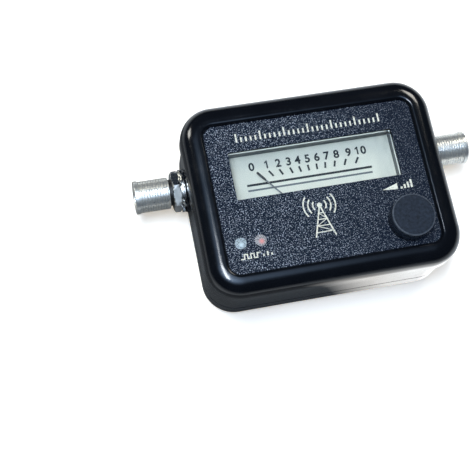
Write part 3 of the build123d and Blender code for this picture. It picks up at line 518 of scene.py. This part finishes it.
def clear_plastic(name, colour):
    """Clear moulding that lets light through to what lies behind it."""
    finish = Finish(name, colour, 0.02, Transmission_Weight=1.0, IOR=1.49, Specular_IOR_Level=0.2)
    finish.tint(finish.noise(10 * MM, 2), scaled(colour, 0.98), colour)
    finish.gloss(finish.noise(5 * MM, 4), 0.01, 0.04)
    finish.relief((finish.noise(8 * MM, 2), 0.01 * MM))
    passed = finish.add("ShaderNodeBsdfTransparent")
    passed.inputs["Color"].default_value = (*scaled(colour, 0.95), 1)
    rays = finish.add("ShaderNodeLightPath").outputs
    either = finish.math("MAXIMUM", rays["Is Shadow Ray"], rays["Is Diffuse Ray"])
    mix = finish.mixed(either, finish.shader.outputs["BSDF"], passed.outputs["BSDF"])
    finish.join(mix, finish.output.inputs["Surface"])
    return finish.material


def lamp_glass(name, rim, core, centre, reach):
    """Grained lamp window: a mottled rim and a tinted core."""
    finish = Finish(name, rim, 0.35, Specular_IOR_Level=0.4)
    grain = finish.noise(0.36 * MM, 1, 0.5)
    glow = finish.spread(finish.away(centre), 0.25 * reach, reach, 1.0, 0.0)
    mottled = finish.blend(finish.spread(grain, 0.38, 0.62, 0.0, 1.0), scaled(rim, 0.5), scaled(rim, 1.55))
    finish.tint(glow, mottled, core)
    finish.gloss(grain, 0.3, 0.5)
    finish.relief((grain, 0.05 * MM))
    return finish.material


def laminate(name, colour):
    """Board laminate under lacquer, with faint glass weave and copper tracks."""
    finish = Finish(name, colour, 0.3, Coat_Weight=0.3)
    weave = finish.noise(0.5 * MM, 1, stretch=(1, 0.2, 1))
    cells = finish.add("ShaderNodeTexVoronoi")
    cells.feature = "DISTANCE_TO_EDGE"
    cells.inputs["Scale"].default_value = 1 / (3 * MM)
    finish.join(finish.places, cells.inputs["Vector"])
    tracks = finish.spread(cells.outputs["Distance"], 0.12, 0.16, 1.0, 0.0)
    base = finish.blend(weave, scaled(colour, 0.85), scaled(colour, 1.15))
    finish.tint(tracks, base, scaled(colour, 1.8))
    finish.gloss(weave, 0.25, 0.35)
    finish.relief((tracks, 0.03 * MM), (weave, 0.005 * MM))
    return finish.material


def wound_copper(name, colour):
    """Fine enamelled winding."""
    finish = Finish(name, colour, 0.3, 1.0)
    turns = finish.noise(0.12 * MM, 1, stretch=(1, 1, 0.02))
    finish.tint(turns, scaled(colour, 0.5), colour)
    finish.gloss(turns, 0.25, 0.4)
    finish.relief((turns, 0.02 * MM))
    return finish.material


def stage_paper(name, colour):
    """Pale paper. Mirror images in the case see it painted: dark at the left, in front and far off as painted
    shade, bright at the lower right as a painted highlight.
    """
    finish = Finish(name, colour, 0.85)
    rays = finish.add("ShaderNodeLightPath").outputs

    def mirrored(x, y, near, far, inside, outside):
        """Painted reflection: a patch that mirror images alone show. Its middle and two radii in millimetres, and
        its strengths.
        """
        patch = finish.spread(finish.away((x * MM, y * MM, 0)), near * MM, far * MM, inside, outside)
        return finish.times(patch, rays["Is Glossy Ray"])

    # Painted reflections: darker patches at the left, in front and far off as painted shade, and a glowing patch
    # at the lower right as a painted highlight
    below = mirrored(-20, -46, 38, 50, 0.94, 0.0)
    left = mirrored(-66, 8, 40, 62, 0.94, 0.0)
    far_off = mirrored(0, 0, 90, 220, 0.0, 0.7)
    right = mirrored(28, -50, 22, 33, 2.0, 0.0)
    fibres = finish.blend(finish.noise(60 * MM, 3), scaled(colour, 0.985), colour)
    dark = scaled(colour, 0.1)
    finish.tint(far_off, finish.blend(left, finish.blend(below, fibres, dark), dark), dark)
    # Emission: an even lift that the camera sees, plus the painted highlight that mirror images show at the lower
    # right
    lift = finish.math("MULTIPLY_ADD", rays["Is Camera Ray"], 0.34, right)
    lift_colour = finish.blend(rays["Is Camera Ray"], (1.0, 0.98, 0.94), (1.0, 0.86, 0.68))
    finish.join(lift_colour, finish.shader.inputs["Emission Color"])
    finish.join(lift, finish.shader.inputs["Emission Strength"])
    finish.relief((finish.noise(0.8 * MM, 3), 0.01 * MM))
    return finish.material


def lamp_eye(lamp, aside, drop):
    """Middle of the lamp's light as seen in its window, a little off the window's middle."""
    place = lamps[lamp]
    return (place.x + aside, place.y - drop, label_level)


lathe_marks = {"tool_marks": (1, 0.08, 0.08), "edge": 0.0, "metallic": 0.88, "depth": 0.0003 * MM}
knob_top_middle = (knob_middle.x, knob_middle.y, knob_high.z)
left_eye = lamp_eye("left_lamp", 0.1 * MM, 0.45 * MM)
right_eye = lamp_eye("right_lamp", 0.2 * MM, 0.35 * MM)
materials = {
    "case_plastic": glossy_case("case_plastic", (0.0028, 0.0034, 0.0048)),
    "label_film": grained_film("label_film", (0.006, 0.010, 0.019), (0.44, 0.48, 0.54)),
    "label_ink": printed_ink("label_ink", (0.74, 0.72, 0.59)),
    "screw_steel": plated_metal("screw_steel", (0.6, 0.6, 0.58), 0.3),
    "board_laminate": laminate("board_laminate", (0.02, 0.12, 0.05)),
    "nickel_plate": plated_metal("nickel_plate", (0.91, 0.885, 0.81), 0.32, tarnish=0.8, **lathe_marks),
    # Painted shade: darker in the thread's grooves, near black on the neck
    "thread_groove": plated_metal("thread_groove", (0.7, 0.68, 0.62), 0.4, tarnish=0.85, **lathe_marks),
    "undercut_plate": plated_metal("undercut_plate", (0.06, 0.06, 0.06), 0.5),
    "hexagon_plate": plated_metal("hexagon_plate", (0.85, 0.85, 0.82), 0.17, (1, 1, 0.05), 0.7, 0.1 * MM),
    "hexagon_flat": plated_metal("hexagon_flat", (0.96, 0.94, 0.86), 0.42, (0.05, 1, 1), 0.8, 0.1 * MM),
    "insulator_plastic": moulded_plastic("insulator_plastic", (0.75, 0.73, 0.66), 0.45),
    "contact_brass": plated_metal("contact_brass", (0.8, 0.6, 0.3), 0.25),
    "washer_steel": plated_metal("washer_steel", (0.74, 0.73, 0.7), 0.28),
    "component_plastic": moulded_plastic("component_plastic", (0.02, 0.02, 0.022), 0.45),
    "shaft_alloy": plated_metal("shaft_alloy", (0.7, 0.7, 0.7), 0.35, (1, 1, 0.1)),
    "knob_plastic": worn_knob("knob_plastic", (0.007, 0.011, 0.018), (0.13, 0.145, 0.165), knob_top_middle),
    "lamp_left": lamp_glass("lamp_left", (0.26, 0.31, 0.325), (0.52, 0.61, 0.62), left_eye, 0.9 * MM),
    "lamp_right": lamp_glass("lamp_right", (0.255, 0.245, 0.24), (0.66, 0.25, 0.22), right_eye, 1.05 * MM),
    "tinned_wire": plated_metal("tinned_wire", (0.7, 0.7, 0.68), 0.3),
    "meter_plastic": moulded_plastic("meter_plastic", (0.1, 0.105, 0.105), 0.4),
    "meter_clear": clear_plastic("meter_clear", (0.97, 0.985, 0.98)),
    "dial_paint": painted_dial("dial_paint", (0.745, 0.73, 0.62)),
    "dial_ink": printed_ink("dial_ink", (0.01, 0.012, 0.014), 1.6),
    "dial_grey_ink": printed_ink("dial_grey_ink", (0.13, 0.14, 0.145), 1.3),
    "pivot_steel": plated_metal("pivot_steel", (0.6, 0.6, 0.6), 0.2),
    "bridge_brass": plated_metal("bridge_brass", (0.78, 0.6, 0.3), 0.3),
    "yoke_iron": plated_metal("yoke_iron", (0.4, 0.4, 0.4), 0.4),
    "magnet_alloy": plated_metal("magnet_alloy", (0.35, 0.35, 0.36), 0.35),
    "jewel_ruby": moulded_plastic("jewel_ruby", (0.35, 0.02, 0.04), 0.1),
    "spring_bronze": plated_metal("spring_bronze", (0.7, 0.5, 0.3), 0.3),
    "coil_copper": wound_copper("coil_copper", (0.8, 0.4, 0.2)),
    "pointer_paint": moulded_plastic("pointer_paint", (0.012, 0.012, 0.013), 0.4),
    "pointer_metal": plated_metal("pointer_metal", (0.16, 0.17, 0.175), 0.35),
    "shield_tin": plated_metal("shield_tin", (0.65, 0.65, 0.63), 0.35),
    "capacitor_sleeve": moulded_plastic("capacitor_sleeve", (0.02, 0.03, 0.09), 0.25),
    "choke_ferrite": moulded_plastic("choke_ferrite", (0.03, 0.03, 0.032), 0.5),
    "resistor_lacquer": moulded_plastic("resistor_lacquer", (0.45, 0.32, 0.18), 0.35),
    "disc_ceramic": moulded_plastic("disc_ceramic", (0.5, 0.28, 0.1), 0.4),
}


# CAD nodes keep their shape and take their slot's finish
def dress_frame():
    for node, piece in frame["nodes"].items():
        for place in piece.material_slots or [None]:
            if place is None:
                piece.data.materials.append(materials[slots[node]])
            else:
                place.material = materials[slots[node]]


# Printed film with its window, shaft hole and lamp windows
def make_label():
    width, height = label_high.x - label_low.x, label_high.y - label_low.y
    outlines = [
        rounded_rectangle(label_middle, width, height, label_corner),
        rounded_rectangle(window_centre, *window_size, window_corner, 4),
        circle(knob_middle, shaft_hole_radius),
    ]
    outlines += [circle(place, lamp_window_radius + lamp_window_gap, 40) for place in lamps.values()]
    mesh = plate_mesh(outlines, label_bottom_level, label_level, label_bevel)
    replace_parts(link("label_sheet", mesh, "case", "label_film"), "face_label")


def make_lamp_windows():
    """Slightly domed discs in the film."""
    edge_round = 0.1 * MM
    for name, place in lamps.items():
        profile = [(0, label_bottom_level), (lamp_window_radius, label_bottom_level)]
        rounded(profile, (lamp_window_radius - edge_round, label_level - edge_round), edge_round, 0, 90, 5)
        profile += [(0.6 * lamp_window_radius, label_level + 0.05 * MM), (0, label_level + 0.08 * MM)]
        link(name + "_window", lathe(profile, place, 48), "case", slots[name])


# Marks on the film, as outlines
def ruler_marks():
    """Ruler of ticks over the window, every fifth one longer."""
    left, right, base = -22.3 * MM, 21.4 * MM, 16.35 * MM
    gaps = 30
    marks = []
    for k in range(gaps + 1):
        x = left + (right - left) * k / gaps
        height = (2.7 if k % 5 == 0 else 1.5) * MM
        marks.append(bar((x, base), (x, base + height), 0.5 * MM))
    return marks


def level_marks():
    """Level wedge with rising bars, over the knob."""
    marks = [[(17.4 * MM, -5.2 * MM), (22.1 * MM, -5.56 * MM), (22.25 * MM, -3.68 * MM)]]
    for k in range(4):
        x = (23.3 + 1.05 * k) * MM
        marks.append(bar((x, -5.6 * MM), (x, (-4.95 + 0.6 * k) * MM), 0.62 * MM))
    return marks


def pulse_marks():
    """Pulse train and three small bars, under the lamps."""
    left, low, high = -27.9 * MM, -19.0 * MM, -17.7 * MM
    step, stroke = 0.95 * MM, 0.34 * MM
    marks = []
    for k in range(6):
        x = left + k * step
        level = high if k % 2 else low
        marks.append(bar((x - stroke / 2, level), (x + step + stroke / 2, level), stroke))
        if k:
            marks.append(bar((x, low + stroke / 2), (x, high - stroke / 2), stroke))
    for x, height in ((-21.3, 0.7), (-20.1, 1.3), (-18.9, 0.7)):
        marks.append(bar((x * MM, low), (x * MM, low + height * MM), 0.5 * MM))
    return marks


def mast_marks():
    """Lattice mast with waves at its top, under the window. Its corners are in millimetres."""
    top, left, right = (-2.2, -6.6), (-5.2, -16.2), (0.8, -16.2)
    top_place = (top[0] * MM, top[1] * MM)
    leg, rung, brace, wave = 0.42 * MM, 0.26 * MM, 0.2 * MM, 0.42 * MM
    wave_span = 76
    rungs = [0.25, 0.45, 0.65, 0.85]

    def along(foot, share):
        """Place on the leg that ends at a foot, at a share of its length from the top."""
        return tuple((start + (end - start) * share) * MM for start, end in zip(top, foot))

    marks = [bar(along(foot, 0.05), along(foot, 1), leg) for foot in (left, right)]
    for k, share in enumerate(rungs):
        marks.append(bar(along(left, share), along(right, share), rung))
        if k:
            upper, lower = (left, right) if k % 2 else (right, left)
            marks.append(bar(along(upper, rungs[k - 1]), along(lower, share), brace))
    marks.append(circle(top_place, 0.75 * MM, 32))
    for radius in (2.0, 3.4, 4.8):
        for first in (-38, 142):
            marks.append(arc_band(top_place, radius * MM, wave, first, first + wave_span))
    return marks


def make_label_marks():
    """Marks in one piece. Neighbours differ a little in height, so that strokes that cross don't flicker."""
    meshes = []
    for k, mark in enumerate(ruler_marks() + level_marks() + pulse_marks() + mast_marks()):
        meshes.append(plate_mesh([mark], label_level, label_level + ink_height * (1 + k % 3 * 0.1)))
    link("label_marks", joined(meshes), "case", "label_ink", None)


# Digits, ticks and two lines on the dial
def ink_on_dial(outline):
    return plate_mesh([outline], dial_level, dial_level + ink_height)


def flagged_one(middle, base):
    """Outline of a 1: a stem with a flag at the left of its top."""
    left, right, flag = middle - 0.14 * MM, middle + 0.34 * MM, middle - 0.64 * MM
    top = base + digit_height
    stem = [(left, base), (right, base), (right, top), (middle, top)]
    return stem + [(flag, top - 0.55 * MM), (flag, top - 0.9 * MM), (left, top - 0.68 * MM)]


def digit_mesh(digit, middle, base):
    """Ink of one digit. The 1 is drawn with a flag, the others come from the plain font."""
    if digit == "1":
        return ink_on_dial(flagged_one(middle, base))
    text = bpy.data.curves.new("digit", "FONT")
    text.body = digit
    text.size = digit_height / digit_share_of_font
    text.align_x = "CENTER"
    text.offset = digit_weight
    text.extrude = ink_height / 2
    text.bevel_depth = digit_bevel
    text.bevel_resolution = 0
    mesh = curve_mesh(text)
    mesh.transform(Matrix.Translation((middle, base, dial_level + ink_height / 2 + digit_bevel)))
    return mesh


def tick_mesh(place):
    """Ink of a tick that points at the pivot."""
    lean = Vector((place * MM - pivot.x, tick_middle - pivot.y))
    step = lean / lean.y * tick_rise / 2
    middle = Vector((place * MM, tick_middle))
    return ink_on_dial(bar(middle - step, middle + step, tick_width))


def line_mesh(left, right, level, width):
    return ink_on_dial(bar((left * MM, level * MM), (right * MM, level * MM), width * MM))


def make_dial_marks():
    base = digit_middle - digit_height / 2
    meshes = [digit_mesh(str(number), place * MM, base) for number, place in enumerate(digit_places)]
    meshes += [digit_mesh(digit, place * MM, base) for digit, place in zip("10", ten_places)]
    meshes += [tick_mesh(place) for place in tick_places]
    meshes.append(line_mesh(*scale_line))
    link("dial_marks", joined(meshes), "case", "dial_ink", None)
    link("dial_second_line", line_mesh(*second_line), "case", "dial_grey_ink", None)


# Pointer: slim metal arm with hub, tail and balance weight, and a broad dark blade at its end
def make_pointer():
    low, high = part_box("pointer")
    level, top = high.z - 0.25 * MM, high.z
    margin = 0.2 * MM
    reach = hypot(pivot.x - low.x, high.y - pivot.y) - margin
    turn = atan2(pivot.x - low.x - margin, high.y - pivot.y)
    tail, arm, blade, blade_length = 5.4 * MM, 0.44 * MM, 0.68 * MM, 3.6 * MM
    place = Matrix.Translation((pivot.x, pivot.y, 0)) @ Matrix.Rotation(turn, 4, "Z")

    meshes = [plate_mesh([bar((0, -tail), (0, reach - blade_length + 0.3 * MM), arm)], level, top, 0.06 * MM)]
    hub = [circle((0, 0), 0.95 * MM, 40), circle((0, 0), 0.37 * MM, 24)]
    meshes.append(plate_mesh(hub, level - 0.05 * MM, top + 0.05 * MM, 0.04 * MM))
    weight = [(0, low.z), (0.7 * MM, low.z), (0.8 * MM, low.z + 0.1 * MM)]
    weight += [(0.8 * MM, top - 0.05 * MM), (0.7 * MM, top), (0, top)]
    meshes.append(lathe(weight, (0, -tail), 32))
    needle = joined(meshes)
    needle.transform(place)
    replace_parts(link("pointer_needle", needle, "movement", "pointer_metal"), "pointer")

    start, shoulder, broad = reach - blade_length, reach - 0.25 * MM, reach - blade_length + 0.9 * MM
    right_side = [(arm / 2, start), (blade / 2, broad), (blade / 2, shoulder), (0.2 * MM, reach)]
    left_side = [(-x, y) for x, y in reversed(right_side)]
    tip = plate_mesh([right_side + left_side], level - 0.02 * MM, top + 0.02 * MM, 0.03 * MM)
    tip.transform(place)
    link("pointer_blade", tip, "movement", "pointer_paint")


# Knob: smooth cap with a soft rim, hollow underneath round its hub
def make_knob():
    base, top = knob_low.z, knob_high.z
    inside, hub, shaft_bore, roof = knob_radius - 0.9 * MM, 4.2 * MM, 3.0 * MM, top - 1.2 * MM
    foot_round, rim_round, lean, dip = 0.2 * MM, 0.42 * MM, 0.12 * MM, 0.02 * MM
    profile = [(shaft_bore, roof), (shaft_bore, base + 0.1 * MM), (shaft_bore + 0.1 * MM, base)]
    profile += [(hub, base), (hub, roof), (inside, roof)]
    profile += [(inside, base + 0.05 * MM), (inside + 0.05 * MM, base), (knob_radius - foot_round, base)]
    rounded(profile, (knob_radius - foot_round, base + foot_round), foot_round, -90, 0, 4)
    rounded(profile, (knob_radius - lean - rim_round, top - rim_round), rim_round, 0, 90, 8)
    profile += [(0.6 * knob_radius, top - dip / 2), (0.3 * knob_radius, top - dip), (0, top - dip)]
    mesh = lathe(profile[::-1], knob_middle, 128)
    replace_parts(link("knob_cap", mesh, "knob", "knob_plastic"), "knob")


# Aerial connector: hexagon on a shank, then a barrel with neck, real helical thread, rolled lip and bore
def hexagon_radius(corners_up, limit, angle):
    """Distance from the axis to a hexagon's side at an angle, its corners turned down to a limit."""
    turned = (angle + (pi / 6 if corners_up else 0)) % (pi / 3) - pi / 6
    return min(hexagon_inner / cos(turned), limit)


def thread_radius(turns, fade, angle):
    """Distance from the axis to the thread at an angle, after some turns. Fade grows from 0 at its start.
    The crests are broad, with a narrow groove between them.
    """
    from_groove = abs((turns - angle / (2 * pi)) % 1.0 - 0.5)
    rise = min(1.0, max(0.0, (from_groove - 0.05) / 0.12))
    return root + (crest - thread_depth - root) * fade + thread_depth * rise * fade


def hexagon_rows(ring, tail_end, start, corners_up, neck_start):
    end = start + hexagon_length
    rows = [ring(tail_end, bore)]
    if start > tail_end + corner_cut:
        rows += [ring(tail_end, shank), ring(start, shank)]
    for face, inward, shares in ((start, 1, (0.0, 0.5, 1.0)), (end, -1, (1.0, 0.5, 0.0))):
        for share in shares:
            radius = partial(hexagon_radius, corners_up, hexagon_inner + corner_cut * share)
            rows.append(ring(face + inward * 0.5 * corner_cut * share, radius))
    if neck_start > end:
        rows += [ring(end, shank), ring(neck_start, shank)]
    return rows + [ring(neck_start, root), ring(neck_start, bore), ring(tail_end, bore)]


def barrel_rows(ring, neck_start, thread_start, thread_end, mouth):
    rows = [ring(neck_start, bore), ring(neck_start, root), ring(thread_start - 0.1 * MM, root)]
    for k in range(round((thread_end - thread_start) / thread_pitch * steps_per_turn) + 1):
        distance = thread_start + k * thread_pitch / steps_per_turn
        fade = min(1.0, 3 * (distance - thread_start) / thread_pitch)
        rows.append(ring(distance, partial(thread_radius, k / steps_per_turn, fade)))
    rows += [ring(thread_end + 0.05 * MM, lip - 0.14 * MM), ring(thread_end + 0.15 * MM, lip)]
    for k in range(lip_steps + 1):
        angle = pi / 2 * k / lip_steps
        distance = mouth - lip_round + lip_round * sin(angle)
        rows.append(ring(distance, lip - lip_round + lip_round * cos(angle)))
    rows += [ring(mouth, bore + 0.2 * MM), ring(mouth - 0.06 * MM, bore + 0.06 * MM)]
    return rows + [ring(mouth - 0.2 * MM, bore), ring(neck_start, bore)]


def make_connector(name, side, hexagon_start, corners_up, shank_end, thread_start):
    low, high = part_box(name)
    axis_y, axis_z = (low.y + high.y) / 2, (low.z + high.z) / 2
    tail_end, mouth = (low.x, high.x) if side > 0 else (-high.x, -low.x)
    neck_start = max(hexagon_start + hexagon_length, shank_end)
    thread_end = mouth - lip_length
    angles = [2 * pi * k / ring_steps for k in range(ring_steps)]

    def ring(distance, radius):
        """Ring of points at a distance along the axis. The radius is a number, or depends on the angle."""
        row = []
        for angle in angles:
            reach = radius(angle) if callable(radius) else radius
            row.append((side * distance, axis_y + reach * cos(angle), axis_z + reach * sin(angle)))
        return row

    def hexagon_finish(face):
        """1 on every other side of the hexagon."""
        number = round(atan2(face.normal.z, face.normal.y) / (pi / 3))
        return int(abs(face.normal.x) < 0.3 and number % 2 == 0)

    def barrel_finish(face):
        """2 on the neck, 1 in the thread's grooves. Both darker finishes are painted shade."""
        distance = side * face.center.x
        away = hypot(face.center.y - axis_y, face.center.z - axis_z)
        if distance < thread_start:
            return 2
        return int(distance < thread_end and away < crest - thread_depth / 2)

    mesh = grid_mesh(hexagon_rows(ring, tail_end, hexagon_start, corners_up, neck_start))
    hexagon = link(name + "_hexagon", mesh, "case", "hexagon_plate")
    add_finishes(hexagon, ["hexagon_flat"], hexagon_finish)
    mesh = grid_mesh(barrel_rows(ring, neck_start, thread_start, thread_end, mouth))
    barrel = link(name + "_barrel", mesh, "case", "nickel_plate", 50)
    # Painted shade in the grooves and on the neck
    add_finishes(barrel, ["thread_groove", "undercut_plate"], barrel_finish)
    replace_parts(barrel, name)


# The left connector's hexagon is outside the wall. The right one's is inside.
def make_connectors():
    make_connector("left_connector", -1, 39.95 * MM, True, 39.95 * MM, 43.15 * MM)
    make_connector("right_connector", 1, 32.05 * MM, False, 38.75 * MM, 39.0 * MM)


# Floor, lights and camera
def make_stage():
    size, drop = 6.0, 0.05 * MM
    bpy.ops.mesh.primitive_grid_add(x_subdivisions=8, y_subdivisions=8, size=size, location=(0, 0, -drop))
    floor = bpy.context.object
    floor.name = "floor"
    floor.data.materials.append(stage_paper("floor_paper", (0.98, 0.94, 0.87)))


def add_light(name, direction, along, size, radiance, colour, distance=2.0):
    """Soft panel in a direction from the object. Its width and length are as seen from there, in radians."""
    outward = Vector(direction).normalized()
    across = Vector(along).cross(outward).normalized()
    lengthwise = outward.cross(across)
    lamp = bpy.data.lights.new(name, "AREA")
    lamp.shape = "RECTANGLE"
    lamp.size, lamp.size_y = size[0] * distance, size[1] * distance
    lamp.energy = radiance * pi * lamp.size * lamp.size_y
    lamp.color = colour
    panel = bpy.data.objects.new(name, lamp)
    bpy.context.scene.collection.objects.link(panel)
    axes = Matrix((across, lengthwise, outward)).transposed()
    panel.matrix_world = Matrix.Translation(outward * distance) @ axes.to_4x4()


def make_lights():
    add_light("key_panel", (-0.2, 0.0, 0.98), (0.2, 0.4, 0.05), (0.14, 0.52), 26, (0.92, 0.965, 1.0))
    add_light("back_right_panel", (0.52, 0.5, 0.69), (0, 0.7, -0.5), (0.23, 0.25), 12, (1.0, 0.97, 0.88))
    add_light("back_left_panel", (-0.65, 0.58, 0.5), (0, 0.7, -0.5), (0.25, 0.31), 12, (1.0, 1.0, 0.93))


def make_world():
    """Studio air: pale grey to the camera, and to all else a bluish glow overhead that fades to the sides."""
    world = bpy.data.worlds.new("studio")
    bpy.context.scene.world = world
    world.use_nodes = True
    air = Nodes(world.node_tree)
    output = air.add("ShaderNodeOutputWorld")
    seen = air.add("ShaderNodeBackground")
    seen.inputs["Color"].default_value = (0.93, 0.93, 0.93, 1)
    glow = air.add("ShaderNodeBackground")
    glow.inputs["Color"].default_value = (0.46, 0.67, 1.0, 1)
    overhead = Vector((-0.19, -0.08, 0.98)).normalized()
    directions = air.add("ShaderNodeTexCoord").outputs["Generated"]
    nearness = air.spread(air.compared("DOT_PRODUCT", directions, overhead), 0.75, 1.0, 0.0, 1.0)
    strength = air.spread(air.math("POWER", nearness, 4.5), 0.0, 1.0, 0.04, 7.0)
    air.join(strength, glow.inputs["Strength"])
    to_camera = air.add("ShaderNodeLightPath").outputs["Is Camera Ray"]
    mix = air.mixed(to_camera, glow.outputs["Background"], seen.outputs["Background"])
    air.join(mix, output.inputs["Surface"])


def make_camera():
    data = bpy.data.cameras.new("camera")
    data.sensor_width = sensor
    data.lens = sensor * focal_pixels / image_pixels
    data.clip_start, data.clip_end = 0.01, 20
    camera = bpy.data.objects.new("camera", data)
    bpy.context.scene.collection.objects.link(camera)
    axes = Matrix((camera_right, camera_up, camera_back)).transposed()
    camera.matrix_world = Matrix.Translation(camera_place) @ axes.to_4x4()
    bpy.context.scene.camera = camera
    bpy.context.scene.view_settings.view_transform = "Standard"


dress_frame()
make_label()
make_lamp_windows()
make_label_marks()
make_dial_marks()
make_pointer()
make_knob()
make_connectors()
make_stage()
make_lights()
make_world()
make_camera()
